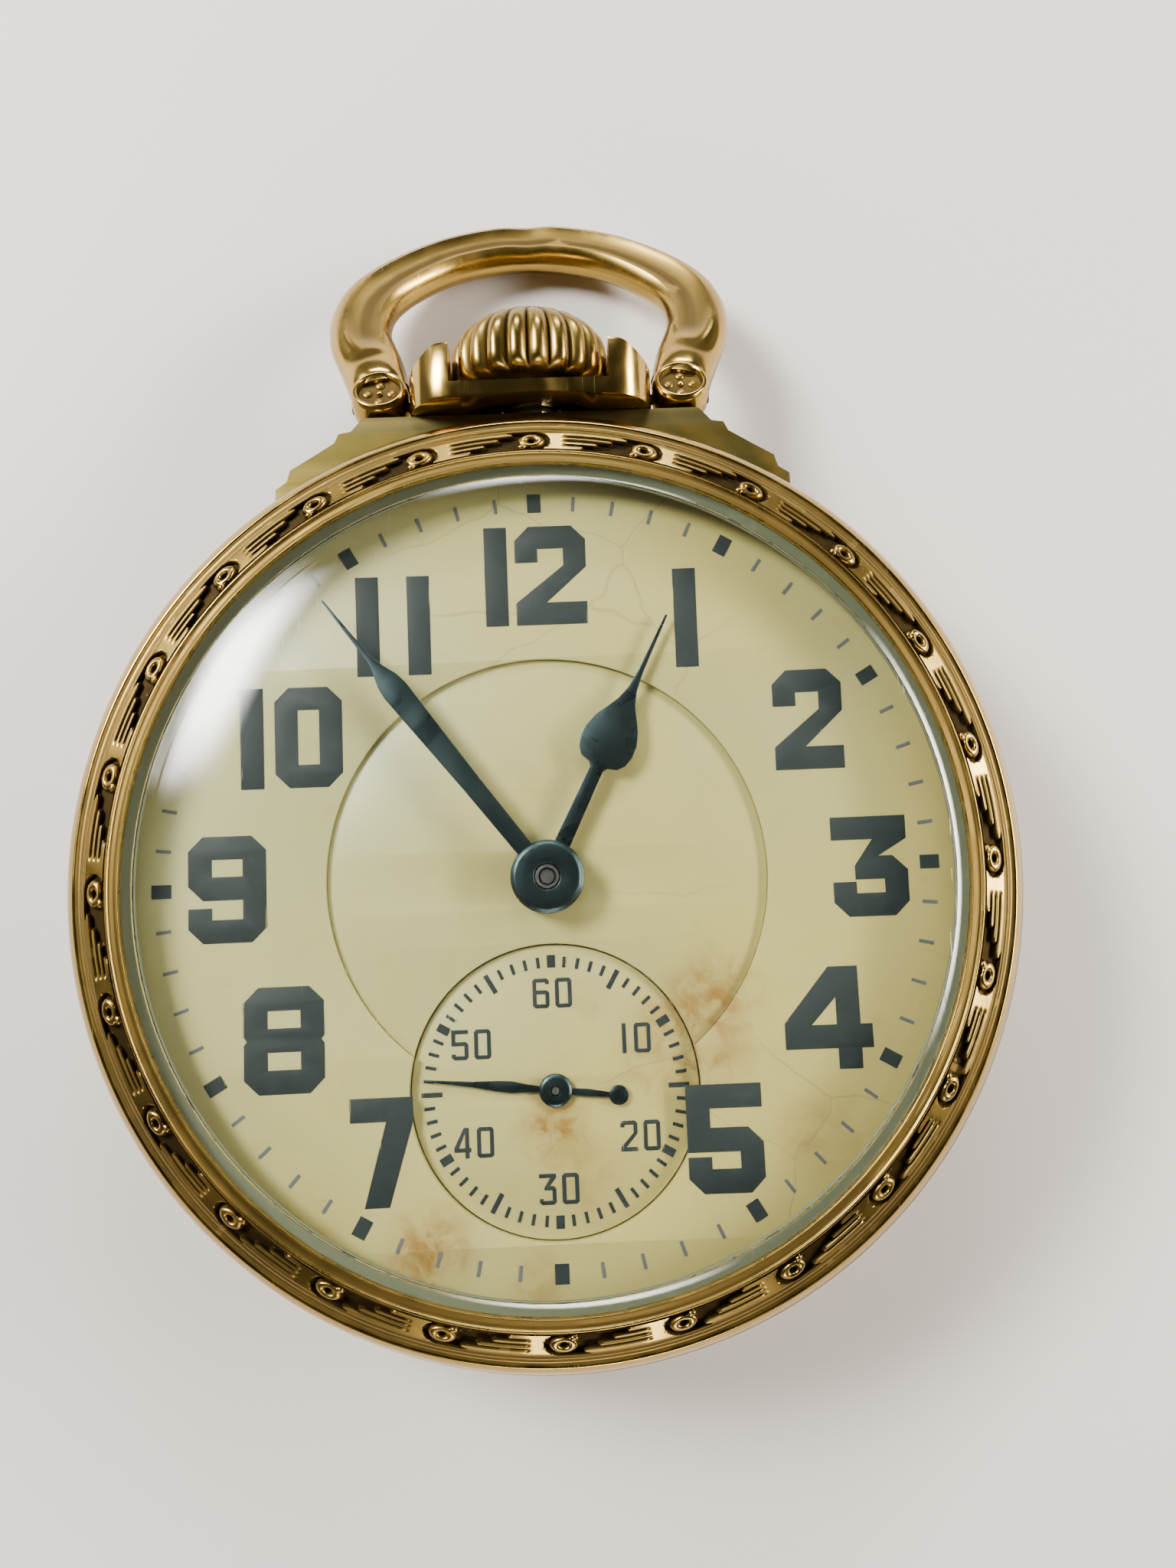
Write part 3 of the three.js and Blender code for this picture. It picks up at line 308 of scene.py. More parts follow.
def ring_tree():
    """Copies a bar round a circle: at every step, or at every step but each nth."""
    tree = node_tree("Marks on a circle", [
        ("Count", "NodeSocketInt", 60),
        ("Skip every", "NodeSocketInt", 1),
        ("Radius", "NodeSocketFloat", 0.0196),
        ("Size", "NodeSocketVector", (0.001, 0.0003, 0.0001)),
        ("Centre", "NodeSocketVector", (0.0, 0.0, 0.0)),
        ("Start", "NodeSocketFloat", 0.0),
        ("Material", "NodeSocketMaterial", None),
    ])
    add, link = tree.nodes.new, tree.links.new
    given = add("NodeGroupInput")
    result = add("NodeGroupOutput")
    step = add("GeometryNodeInputIndex")
    line = add("GeometryNodeMeshLine")
    link(given.outputs["Count"], line.inputs["Count"])

    def maths(operation, first, second=None):
        here = add("ShaderNodeMath")
        here.operation = operation
        for socket, value in zip(here.inputs, (first, second)):
            if value is None:
                continue
            if isinstance(value, (int, float)):
                socket.default_value = value
            else:
                link(value, socket)
        return here.outputs[0]

    share = maths("DIVIDE", step.outputs[0], given.outputs["Count"])
    angle = maths("ADD", maths("MULTIPLY", share, TAU), given.outputs["Start"])
    spot = add("ShaderNodeCombineXYZ")
    link(maths("MULTIPLY", maths("COSINE", angle), given.outputs["Radius"]), spot.inputs["X"])
    link(maths("MULTIPLY", maths("SINE", angle), given.outputs["Radius"]), spot.inputs["Y"])
    shifted = add("ShaderNodeVectorMath")
    link(spot.outputs[0], shifted.inputs[0])
    link(given.outputs["Centre"], shifted.inputs[1])
    settle = add("GeometryNodeSetPosition")
    link(line.outputs["Mesh"], settle.inputs["Geometry"])
    link(shifted.outputs[0], settle.inputs["Position"])
    skipped = add("FunctionNodeCompare")
    skipped.data_type = "FLOAT"
    skipped.operation = "GREATER_THAN"
    link(maths("MODULO", step.outputs[0], given.outputs["Skip every"]), skipped.inputs["A"])
    skipped.inputs["B"].default_value = 0.5
    every = add("FunctionNodeCompare")
    every.data_type = "FLOAT"
    every.operation = "LESS_THAN"
    link(given.outputs["Skip every"], every.inputs["A"])
    every.inputs["B"].default_value = 1.5
    kept = add("FunctionNodeBooleanMath")
    kept.operation = "OR"
    link(skipped.outputs[0], kept.inputs[0])
    link(every.outputs[0], kept.inputs[1])
    bar = add("GeometryNodeMeshCube")
    link(given.outputs["Size"], bar.inputs["Size"])
    copies = add("GeometryNodeInstanceOnPoints")
    link(settle.outputs["Geometry"], copies.inputs["Points"])
    link(kept.outputs[0], copies.inputs["Selection"])
    link(bar.outputs["Mesh"], copies.inputs["Instance"])
    way = add("ShaderNodeCombineXYZ")
    link(angle, way.inputs["Z"])
    link(way.outputs[0], copies.inputs["Rotation"])
    real = add("GeometryNodeRealizeInstances")
    link(copies.outputs["Instances"], real.inputs["Geometry"])
    paint = add("GeometryNodeSetMaterial")
    link(real.outputs["Geometry"], paint.inputs["Geometry"])
    link(given.outputs["Material"], paint.inputs["Material"])
    link(paint.outputs["Geometry"], result.inputs["Geometry"])
    return tree


def screws_tree():
    """Copies one screw to each vertex of the piece that carries the modifier."""
    tree = node_tree("Screws on points", [
        ("Places", "NodeSocketGeometry", None),
        ("Screw", "NodeSocketObject", None),
        ("Turn seed", "NodeSocketInt", 7),
        ("Material", "NodeSocketMaterial", None),
    ])
    add, link = tree.nodes.new, tree.links.new
    given = add("NodeGroupInput")
    result = add("NodeGroupOutput")
    model = add("GeometryNodeObjectInfo")
    link(given.outputs["Screw"], model.inputs["Object"])
    chance = add("FunctionNodeRandomValue")
    chance.data_type = "FLOAT"
    chance.inputs["Max"].default_value = TAU
    link(given.outputs["Turn seed"], chance.inputs["Seed"])
    way = add("ShaderNodeCombineXYZ")
    link(next(s for s in chance.outputs if s.enabled), way.inputs["Z"])
    copies = add("GeometryNodeInstanceOnPoints")
    link(given.outputs["Places"], copies.inputs["Points"])
    link(model.outputs["Geometry"], copies.inputs["Instance"])
    link(way.outputs[0], copies.inputs["Rotation"])
    real = add("GeometryNodeRealizeInstances")
    link(copies.outputs["Instances"], real.inputs["Geometry"])
    paint = add("GeometryNodeSetMaterial")
    link(real.outputs["Geometry"], paint.inputs["Geometry"])
    link(given.outputs["Material"], paint.inputs["Material"])
    link(paint.outputs["Geometry"], result.inputs["Geometry"])
    return tree


def grown(name, tree, values, material, points=()):
    """The plain mesh that a geometry node tree makes from a few points and named input values."""
    mesh = bpy.data.meshes.new(name)
    mesh.from_pydata(list(points), [], [])
    holder = bpy.data.objects.new(name, mesh)
    bpy.context.scene.collection.objects.link(holder)
    maker = holder.modifiers.new("make", "NODES")
    maker.node_group = tree
    for socket in tree.interface.items_tree:
        if socket.in_out == "INPUT" and socket.name in values:
            maker[socket.identifier] = values[socket.name]
        elif socket.in_out == "INPUT" and socket.name == "Material":
            maker[socket.identifier] = material
    bpy.context.view_layer.update()
    result = bpy.data.meshes.new_from_object(holder.evaluated_get(bpy.context.evaluated_depsgraph_get()))
    holder.modifiers.clear()
    bpy.data.objects.remove(holder)
    return add_object(name, result, material)


def marks(name, count, radius, size, top, material, skip=1, at=CENTRE, start=0.0):
    """Printed bars round a circle; size is (radial length, width), and top is the enamel they lie on."""
    values = {
        "Count": count, "Skip every": skip, "Radius": radius * MM, "Start": start,
        "Size": (size[0] * MM, size[1] * MM, PRINT * MM),
        "Centre": (at[0] * MM, at[1] * MM, (top + PRINT / 2) * MM),
    }
    return grown(name, bpy.data.node_groups["Marks on a circle"], values, material)


# ---------------------------------------------------------------- shader groups

def shader_group(name, inputs, outputs):
    """An empty shader node group with named inputs and outputs."""
    tree = bpy.data.node_groups.new(name, "ShaderNodeTree")
    for label, kind, default in inputs:
        socket = tree.interface.new_socket(name=label, in_out="INPUT", socket_type=kind)
        if default is not None:
            socket.default_value = default
    for label, kind in outputs:
        tree.interface.new_socket(name=label, in_out="OUTPUT", socket_type=kind)
    return tree


class Wiring:
    """Adds and links the nodes of one tree."""

    def __init__(self, tree):
        self.tree = tree

    def add(self, kind, settings=None, **inputs):
        here = self.tree.nodes.new(kind)
        for key, value in (settings or {}).items():
            setattr(here, key, value)
        for key, value in inputs.items():
            self.feed(here.inputs[key.replace("_", " ")], value)
        return here

    def feed(self, socket, value):
        if isinstance(value, bpy.types.NodeSocket):
            self.tree.links.new(value, socket)
        else:
            socket.default_value = value

    def maths(self, operation, *values, clamp=False):
        here = self.add("ShaderNodeMath", {"operation": operation, "use_clamp": clamp})
        for socket, value in zip(here.inputs, values):
            self.feed(socket, value)
        return here.outputs[0]

    def noise(self, vector, scale, detail=2.0, distortion=0.0, roughness=0.5):
        here = self.add("ShaderNodeTexNoise", Scale=scale, Detail=detail,
                        Distortion=distortion, Roughness=roughness)
        self.feed(here.inputs["Vector"], vector)
        return here.outputs["Fac"]

    def between(self, value, low, high):
        """0 below low, 1 above high, smooth between."""
        here = self.add("ShaderNodeMapRange", {"interpolation_type": "SMOOTHSTEP"})
        for key, item in (("Value", value), ("From Min", low), ("From Max", high)):
            self.feed(here.inputs[key], item)
        return here.outputs["Result"]

    def stretched(self, vector, scale, turn=(0.0, 0.0, 0.0)):
        here = self.add("ShaderNodeMapping", Scale=scale, Rotation=turn)
        self.feed(here.inputs["Vector"], vector)
        return here.outputs[0]

    def mixed(self, factor, first, second, blend="MIX"):
        here = self.add("ShaderNodeMix", {"data_type": "RGBA", "blend_type": blend})
        self.feed(here.inputs[0], factor)
        self.feed(here.inputs[6], first)
        self.feed(here.inputs[7], second)
        return here.outputs[2]


def wear_group():
    """Fine scratches, handling smudges, and grime with painted shade in recesses, for polished metal."""
    tree = shader_group("Handling wear", [
        ("Vector", "NodeSocketVector", None), ("Scratch scale", "NodeSocketFloat", 9000.0),
        ("Edge", "NodeSocketFloat", 0.5),
    ], [("Scratches", "NodeSocketFloat"), ("Smudge", "NodeSocketFloat"),
        ("Grime", "NodeSocketFloat"), ("Rubbed", "NodeSocketFloat")])
    w = Wiring(tree)
    given = w.add("NodeGroupInput")
    result = w.add("NodeGroupOutput")
    scratches = None
    for turn, share in ((0.6, 0.02), (-0.9, 0.03), (2.1, 0.025)):
        way = w.stretched(given.outputs["Vector"], (1.0, share, 0.3), (0.0, 0.0, turn))
        lines = w.between(w.noise(way, given.outputs["Scratch scale"], 1.0, 0.2), 0.7, 0.78)
        scratches = lines if scratches is None else w.maths("MAXIMUM", scratches, lines)
    patch = w.between(w.noise(given.outputs["Vector"], 180.0, 3.0, 1.0), 0.42, 0.62)
    w.feed(result.inputs["Scratches"], w.maths("MULTIPLY", scratches, patch))
    touched = w.noise(given.outputs["Vector"], 260.0, 5.0, 1.5)
    w.feed(result.inputs["Smudge"], w.between(touched, 0.35, 0.75))
    uneven = w.noise(given.outputs["Vector"], 1400.0, 3.0)
    low = w.maths("SUBTRACT", 0.53, w.maths("MULTIPLY", uneven, 0.04))
    # Low Pointiness marks creases and recesses; the metals paint them darker: grime and painted shade.
    w.feed(result.inputs["Grime"], w.between(w.maths("SUBTRACT", 1.0, given.outputs["Edge"]), low, 0.62))
    w.feed(result.inputs["Rubbed"], w.between(given.outputs["Edge"], 0.51, 0.6))
    return tree


def stain_group():
    """A soft blot about a point, broken up by noise."""
    tree = shader_group("Blot", [
        ("Vector", "NodeSocketVector", None), ("Centre", "NodeSocketVector", None),
        ("Radius", "NodeSocketFloat", 0.002), ("Strength", "NodeSocketFloat", 0.5),
    ], [("Mask", "NodeSocketFloat")])
    w = Wiring(tree)
    given = w.add("NodeGroupInput")
    result = w.add("NodeGroupOutput")
    away = w.add("ShaderNodeVectorMath", {"operation": "DISTANCE"})
    w.feed(away.inputs[0], given.outputs["Vector"])
    w.feed(away.inputs[1], given.outputs["Centre"])
    share = w.maths("DIVIDE", away.outputs["Value"], given.outputs["Radius"])
    near = w.maths("SUBTRACT", 1.0, share, clamp=True)
    broken = w.between(w.noise(given.outputs["Vector"], 700.0, 5.0, 0.8, 0.65), 0.36, 0.68)
    mask = w.maths("MULTIPLY", near, w.maths("ADD", 0.25, broken))
    w.feed(result.inputs["Mask"], w.maths("MULTIPLY", mask, given.outputs["Strength"], clamp=True))
    return tree


def brushing_group():
    """Fine grain, drawn out along the axes where Stretch is small."""
    tree = shader_group("Brushing", [
        ("Vector", "NodeSocketVector", None), ("Stretch", "NodeSocketVector", (1.0, 0.02, 1.0)),
        ("Scale", "NodeSocketFloat", 3000.0),
    ], [("Grain", "NodeSocketFloat")])
    w = Wiring(tree)
    given = w.add("NodeGroupInput")
    result = w.add("NodeGroupOutput")
    way = w.add("ShaderNodeVectorMath", {"operation": "MULTIPLY"})
    w.feed(way.inputs[0], given.outputs["Vector"])
    w.feed(way.inputs[1], given.outputs["Stretch"])
    w.feed(result.inputs["Grain"], w.noise(way.outputs[0], given.outputs["Scale"], 3.0))
    return tree


def new_material(name):
    """A material whose shader is joined to its output, and the place on the object for its patterns."""
    material = bpy.data.materials.new(name)
    material.use_nodes = True
    material.node_tree.nodes.clear()
    w = Wiring(material.node_tree)
    shader = w.add("ShaderNodeBsdfPrincipled")
    output = w.add("ShaderNodeOutputMaterial")
    w.feed(output.inputs["Surface"], shader.outputs[0])
    place = w.add("ShaderNodeTexCoord").outputs["Object"]
    return material, w, shader, place


def use_group(w, name, **inputs):
    """A shader node group placed in a material."""
    here = w.add("ShaderNodeGroup")
    here.node_tree = bpy.data.node_groups[name]
    for key, value in inputs.items():
        w.feed(here.inputs[key.replace("_", " ")], value)
    return here


def metal(name, colour, dark, rough, painted_dark=0.6, scratch=0.1, bump=0.005, grain=None):
    """Polished metal with scratches, smudges, grime and painted shade in recesses, painted dark where the
    dark attribute says, and rubbed edges.
    """
    material, w, shader, place = new_material(name)
    edge = w.add("ShaderNodeNewGeometry").outputs["Pointiness"]
    wear = use_group(w, "Handling wear", Vector=place, Edge=edge)
    painted_dark_attribute = w.add("ShaderNodeAttribute", {"attribute_name": "dark"}).outputs["Fac"]
    tone = w.mixed(w.maths("MULTIPLY", wear.outputs["Smudge"], 0.18), (*colour, 1), (*dark, 1))
    # Creases and recesses are painted darker: grime and painted shade.
    tone = w.mixed(w.maths("MULTIPLY", wear.outputs["Grime"], painted_dark), tone, (*[c * 0.3 for c in dark], 1))
    # The dark attribute paints the colour near black: painted shade and painted reflection in hollows, cuts
    # and flutes.
    tone = w.mixed(w.maths("MULTIPLY", painted_dark_attribute, 0.96), tone, (0.022, 0.014, 0.006, 1))
    bright = tuple(min(1.0, c * 1.12 + 0.02) for c in colour)
    tone = w.mixed(w.maths("MULTIPLY", wear.outputs["Rubbed"], 0.5), tone, (*bright, 1))
    w.feed(shader.inputs["Base Color"], tone)
    shader.inputs["Metallic"].default_value = 1.0
    duller = w.maths("MULTIPLY", wear.outputs["Smudge"], 0.12)
    duller = w.maths("ADD", duller, w.maths("MULTIPLY", wear.outputs["Scratches"], scratch))
    duller = w.maths("ADD", duller, w.maths("MULTIPLY", wear.outputs["Grime"], 0.25))
    duller = w.maths("ADD", duller, w.maths("MULTIPLY", painted_dark_attribute, 0.4))
    height = wear.outputs["Scratches"]
    if grain:
        stretch, scale, amount = grain
        lines = use_group(w, "Brushing", Vector=place, Stretch=stretch, Scale=scale).outputs["Grain"]
        duller = w.maths("ADD", duller, w.maths("MULTIPLY", lines, amount))
        height = w.maths("ADD", w.maths("MULTIPLY", height, 0.4), lines)
    w.feed(shader.inputs["Roughness"], w.maths("ADD", duller, rough, clamp=True))
    relief = w.add("ShaderNodeBump", Strength=0.25, Distance=bump * MM, Height=height)
    w.feed(shader.inputs["Normal"], relief.outputs[0])
    return material


# Brown stains in the enamel: where, how wide and how strong.
STAINS = (
    (-0.2, -12.6, 2.4, 1.4), (-6.4, -18.2, 2.8, 1.12), (6.6, -8.6, 4.0, 1.12), (8.4, -6.2, 2.8, 0.98),
    (1.4, -15.2, 2.6, 0.56), (-1.2, -19.8, 1.8, 0.63), (1.9, -6.2, 1.4, 0.7), (-18.3, 6.6, 1.8, 0.56),
    (13.2, -13.4, 3.0, 0.56), (0.5, 4.8, 3.4, 0.28), (-11.8, -16.0, 2.2, 0.42),
)


def enamel(name, colour):
    """Aged glossy enamel: warm drift of colour, blots, hairline cracks and specks."""
    material, w, shader, place = new_material(name)
    warm = tuple(c * f for c, f in zip(colour, (0.98, 0.9, 0.68)))
    cool = tuple(c * f for c, f in zip(colour, (0.86, 0.9, 0.98)))
    split = w.add("ShaderNodeSeparateXYZ")
    w.feed(split.inputs[0], place)
    across = w.maths("MULTIPLY", split.outputs[0], 22.0)
    along = w.maths("MULTIPLY", split.outputs[1], -14.0)
    uneven = w.maths("SUBTRACT", w.noise(place, 90.0, 3.0), 0.5)
    drift = w.maths("ADD", w.maths("ADD", across, along), w.maths("MULTIPLY", uneven, 1.6))
    tone = w.mixed(w.between(drift, -0.7, 0.7), (*cool, 1), (*warm, 1))
    blotches = w.between(w.noise(place, 420.0, 6.0, 0.6, 0.6), 0.5, 0.8)
    aged = tuple(c * f for c, f in zip(colour, (0.72, 0.6, 0.38)))
    tone = w.mixed(w.maths("MULTIPLY", blotches, 0.4), tone, (*aged, 1))
    brown = (0.20, 0.11, 0.025, 1)
    for x, y, radius, strength in STAINS:
        blot = use_group(w, "Blot", Vector=place, Centre=(x * MM, y * MM, DIAL_TOP * MM),
                         Radius=radius * MM, Strength=strength)
        tone = w.mixed(blot.outputs["Mask"], tone, brown)
    cells = w.add("ShaderNodeTexVoronoi", {"feature": "DISTANCE_TO_EDGE"}, Scale=105.0, Randomness=1.0)
    bent = w.add("ShaderNodeVectorMath", {"operation": "ADD"})
    ripple = w.add("ShaderNodeTexNoise", Scale=160.0, Detail=3.0)
    w.feed(ripple.inputs["Vector"], place)
    small = w.add("ShaderNodeVectorMath", {"operation": "SCALE"}, Scale=0.003)
    w.feed(small.inputs[0], ripple.outputs["Color"])
    w.feed(bent.inputs[0], place)
    w.feed(bent.inputs[1], small.outputs[0])
    w.feed(cells.inputs["Vector"], bent.outputs[0])
    crack = w.maths("SUBTRACT", 1.0, w.between(cells.outputs["Distance"], 0.002, 0.007))
    crack = w.maths("MULTIPLY", crack, w.between(w.noise(place, 60.0, 2.0), 0.5, 0.62))
    tone = w.mixed(w.maths("MULTIPLY", crack, 0.35), tone, (0.16, 0.12, 0.06, 1))
    specks = w.between(w.noise(place, 2600.0, 2.0, 0.0, 0.7), 0.72, 0.8)
    tone = w.mixed(w.maths("MULTIPLY", specks, 0.35), tone, (0.2, 0.16, 0.08, 1))
    w.feed(shader.inputs["Base Color"], tone)
    w.feed(shader.inputs["Roughness"], w.maths("ADD", 0.28, w.maths("MULTIPLY", blotches, 0.2)))
    shader.inputs["Coat Weight"].default_value = 0.35
    shader.inputs["Coat Roughness"].default_value = 0.12
    relief = w.add("ShaderNodeBump", Strength=0.15, Distance=0.03 * MM,
                   Height=w.maths("SUBTRACT", w.noise(place, 500.0, 2.0), crack))
    w.feed(shader.inputs["Normal"], relief.outputs[0])
    return material


def paint(name, colour, rough=0.55):
    """Thin printed paint with a slightly uneven, worn surface."""
    material, w, shader, place = new_material(name)
    uneven = w.noise(place, 1500.0, 4.0)
    thin = w.between(w.noise(place, 700.0, 5.0, 0.5), 0.55, 0.85)
    lighter = tuple(min(1.0, c * 1.6 + 0.02) for c in colour)
    tone = w.mixed(w.maths("MULTIPLY", thin, 0.5), (*colour, 1), (*lighter, 1))
    w.feed(shader.inputs["Base Color"], tone)
    w.feed(shader.inputs["Roughness"], w.maths("ADD", rough, w.maths("MULTIPLY", uneven, 0.15)))
    shader.inputs["Specular IOR Level"].default_value = 0.25
    relief = w.add("ShaderNodeBump", Strength=0.2, Distance=0.01 * MM, Height=uneven)
    w.feed(shader.inputs["Normal"], relief.outputs[0])
    return material


def clear_glass(name, tint):
    """Glass that lets light reach what is under it."""
    material, w, shader, place = new_material(name)
    shader.inputs["Base Color"].default_value = (*tint, 1)
    shader.inputs["Transmission Weight"].default_value = 1.0
    shader.inputs["IOR"].default_value = 1.5
    wear = use_group(w, "Handling wear", Vector=place, Scratch_scale=7000.0)
    rough = w.maths("MULTIPLY", wear.outputs["Scratches"], 0.12)
    hazy = w.maths("MULTIPLY", wear.outputs["Smudge"], 0.012)
    w.feed(shader.inputs["Roughness"], w.maths("ADD", rough, hazy))
    relief = w.add("ShaderNodeBump", Strength=0.12, Distance=0.01 * MM, Height=wear.outputs["Scratches"])
    w.feed(shader.inputs["Normal"], relief.outputs[0])
    output = next(n for n in w.tree.nodes if n.type == "OUTPUT_MATERIAL")
    path = w.add("ShaderNodeLightPath")
    through = w.add("ShaderNodeBsdfTransparent")
    chosen = w.add("ShaderNodeMixShader")
    lit = w.maths("MAXIMUM", path.outputs["Is Shadow Ray"], path.outputs["Is Diffuse Ray"])
    w.feed(chosen.inputs[0], lit)
    w.feed(chosen.inputs[1], shader.outputs[0])
    w.feed(chosen.inputs[2], through.outputs[0])
    w.feed(output.inputs["Surface"], chosen.outputs[0])
    return material


def jewel_material(name, tint):
    """Cloudy red stone with a polished face."""
    material, w, shader, place = new_material(name)
    cloud = w.noise(place, 900.0, 3.0)
    w.feed(shader.inputs["Base Color"], w.mixed(cloud, (*tint, 1), (*[c * 0.5 for c in tint], 1)))
    shader.inputs["Coat Weight"].default_value = 1.0
    w.feed(shader.inputs["Roughness"], w.maths("ADD", 0.08, w.maths("MULTIPLY", cloud, 0.08)))
    return material


def floor_material(name, colour):
    """Pale floor that is clear from below."""
    material, w, shader, place = new_material(name)
    drift = w.noise(place, 6.0, 3.0)
    near = tuple(c * 0.97 for c in colour)
    w.feed(shader.inputs["Base Color"], w.mixed(drift, (*colour, 1), (*near, 1)))
    shader.inputs["Roughness"].default_value = 0.6
    output = next(n for n in w.tree.nodes if n.type == "OUTPUT_MATERIAL")
    side = w.add("ShaderNodeNewGeometry")
    through = w.add("ShaderNodeBsdfTransparent")
    chosen = w.add("ShaderNodeMixShader")
    w.feed(chosen.inputs[0], side.outputs["Backfacing"])
    w.feed(chosen.inputs[1], shader.outputs[0])
    w.feed(chosen.inputs[2], through.outputs[0])
    w.feed(output.inputs["Surface"], chosen.outputs[0])
    return material


def damaskeened(name, colour):
    """Nickel plate with a rippled polish: bands of fine curved grain that catch the light in turn."""
    material, w, shader, place = new_material(name)
    bands = w.add("ShaderNodeTexWave", {"bands_direction": "DIAGONAL"},
                  Scale=110.0, Distortion=2.5, Detail=1.0)
    w.feed(bands.inputs["Vector"], place)
    w.feed(bands.inputs["Detail Scale"], 2.0)
    fine = use_group(w, "Brushing", Vector=place, Stretch=(0.08, 1.0, 1.0), Scale=6000.0).outputs["Grain"]
    other = use_group(w, "Brushing", Vector=place, Stretch=(1.0, 0.08, 1.0), Scale=6000.0).outputs["Grain"]
    grain = w.maths("ADD", w.maths("MULTIPLY", fine, bands.outputs["Fac"]),
                    w.maths("MULTIPLY", other, w.maths("SUBTRACT", 1.0, bands.outputs["Fac"])))
    edge = w.add("ShaderNodeNewGeometry").outputs["Pointiness"]
    wear = use_group(w, "Handling wear", Vector=place, Edge=edge)
    # The bands are painted darker: painted sheen of the turning grain.
    darker = tuple(c * 0.72 for c in colour)
    tone = w.mixed(w.maths("MULTIPLY", bands.outputs["Fac"], 0.35), (*colour, 1), (*darker, 1))
    tone = w.mixed(w.maths("MULTIPLY", wear.outputs["Smudge"], 0.12), tone, (0.5, 0.42, 0.3, 1))
    w.feed(shader.inputs["Base Color"], tone)
    shader.inputs["Metallic"].default_value = 1.0
    w.feed(shader.inputs["Roughness"], w.maths("ADD", 0.2, w.maths("MULTIPLY", grain, 0.3)))
    relief = w.add("ShaderNodeBump", Strength=0.4, Distance=0.02 * MM, Height=grain)
    w.feed(shader.inputs["Normal"], relief.outputs[0])
    return material


def make_materials(sizes):
    """Every finish of the watch, made from the colours in the settings."""
    wear_group()
    stain_group()
    brushing_group()
    gold = tuple(sizes.gold)

    def tinted(*factors):
        return tuple(c * f for c, f in zip(gold, factors))

    deep = tinted(0.62, 0.46, 0.3)
    metal("Polished gold", gold, deep, 0.15)
    # The colour is darkened: painted shade, over the real satin grain.
    metal("Satin gold", tinted(0.5, 0.56, 0.66), deep, 0.38, bump=0.012,
          grain=((1.0, 1.0, 0.04), 5000.0, 0.16))
    # Very dark colour for the shoulder: painted shade, with some wear.
    metal("Worn gold", tinted(0.13, 0.16, 0.15), deep, 0.4, bump=0.012,
          grain=((0.05, 1.0, 1.0), 5000.0, 0.16))
    # The colour is darkened: painted shade on the engraved pieces.
    metal("Engraved gold", tinted(0.66, 0.66, 0.66), deep, 0.24, painted_dark=0.9)
    metal("Blued steel", tuple(sizes.blued_steel), (0.01, 0.015, 0.02), 0.26,
          painted_dark=0.1, scratch=0.03, bump=0.001)
    metal("Polished steel", (0.56, 0.57, 0.58), (0.3, 0.29, 0.27), 0.18)
    metal("Gilt brass", (0.80, 0.58, 0.24), (0.45, 0.28, 0.1), 0.24, grain=((1.0, 1.0, 1.0), 7000.0, 0.2))
    damaskeened("Damaskeened nickel", (0.72, 0.72, 0.70))
    enamel("Aged enamel", tuple(sizes.dial))
    paint("Numeral paint", tuple(sizes.numerals))
    paint("Thin paint", tuple(0.75 * c + 0.06 for c in sizes.numerals), 0.5)
    # A dark green ring under the crystal's edge that stands in for how the bevelled glass looks: painted
    # reflection and shade.
    paint("Seal", (0.07, 0.08, 0.045), 0.4)
    clear_glass("Crystal glass", (0.97, 1.0, 0.96))
    jewel_material("Ruby", (0.42, 0.012, 0.05))


def mat(name):
    return bpy.data.materials[name]


# ---------------------------------------------------------------- case

def back_profile():
    """Section of the screw back: its outside from the middle to the edge, and its inside back again."""
    return [
        (0.0, 0.0), (13.0, 0.0), (17.0, 0.25), (20.5, 0.95), (23.0, 2.1), (24.6, 3.4), (25.2, 4.35),
        (25.2, BAND_BOTTOM - 0.02), (23.6, BAND_BOTTOM - 0.02), (23.6, 4.0), (22.6, 3.2), (20.2, 2.05),
        (17.0, 1.2), (13.0, 0.85), (0.0, 0.85),
    ]


def band_profile():
    """Section of the band, with the threads' lands that the back and the bezel screw onto."""
    low, high = BAND_BOTTOM, BAND_TOP
    return [
        (21.4, low - 0.7), (23.4, low - 0.7), (23.4, low), (24.8, low), (25.05, low + 0.3),
        (25.25, 5.9), (BAND_RADIUS, 7.0), (25.2, 8.1), (24.85, high - 0.35), (24.6, high),
        (23.4, high), (23.4, high + 0.8), (22.3, high + 0.8), (22.3, 7.8), (21.4, 7.8),
    ]


def shoulder_outline():
    """The shoulder under the neck, which widens towards the band in small steps."""
    scallops = [(13.9, 20.0), (13.9, 21.35), (13.3, 21.75), (13.1, 22.4), (12.0, 23.05), (10.7, 23.85)]
    half = scallops + [(10.45, 24.35), (9.8, 24.45), (9.35, 24.95), (9.1, NECK_BOTTOM)]
    return half + [(-x, y) for x, y in reversed(half)]


def make_band():
    ring = turned("case_band_ring", band_profile(), mat("Satin gold"), sides=240, closed=True, soft=0.12)
    shoulder = cut_out("case_shoulder", [shoulder_outline()],
                       BAND_BOTTOM + 0.15, BAND_TOP - 0.15, mat("Worn gold"), bevel=0.12)
    cutters = [turned("bore", [(0, 4), (23.2, 4), (23.2, 10), (0, 10)], mat("Satin gold"), sides=240)]
    for side in (-1, 1):
        cutters.append(ball("room", (side * BOSS_X, BOW_PIVOT[1], STEM_Z), BOSS_ROOM, mat("Satin gold")))
    placed(boolean(ring, [lever_pocket()]), "case", "case_gold", "case_band")
    placed(boolean(shoulder, [*cutters, lever_pocket()]), "case", "case_gold")


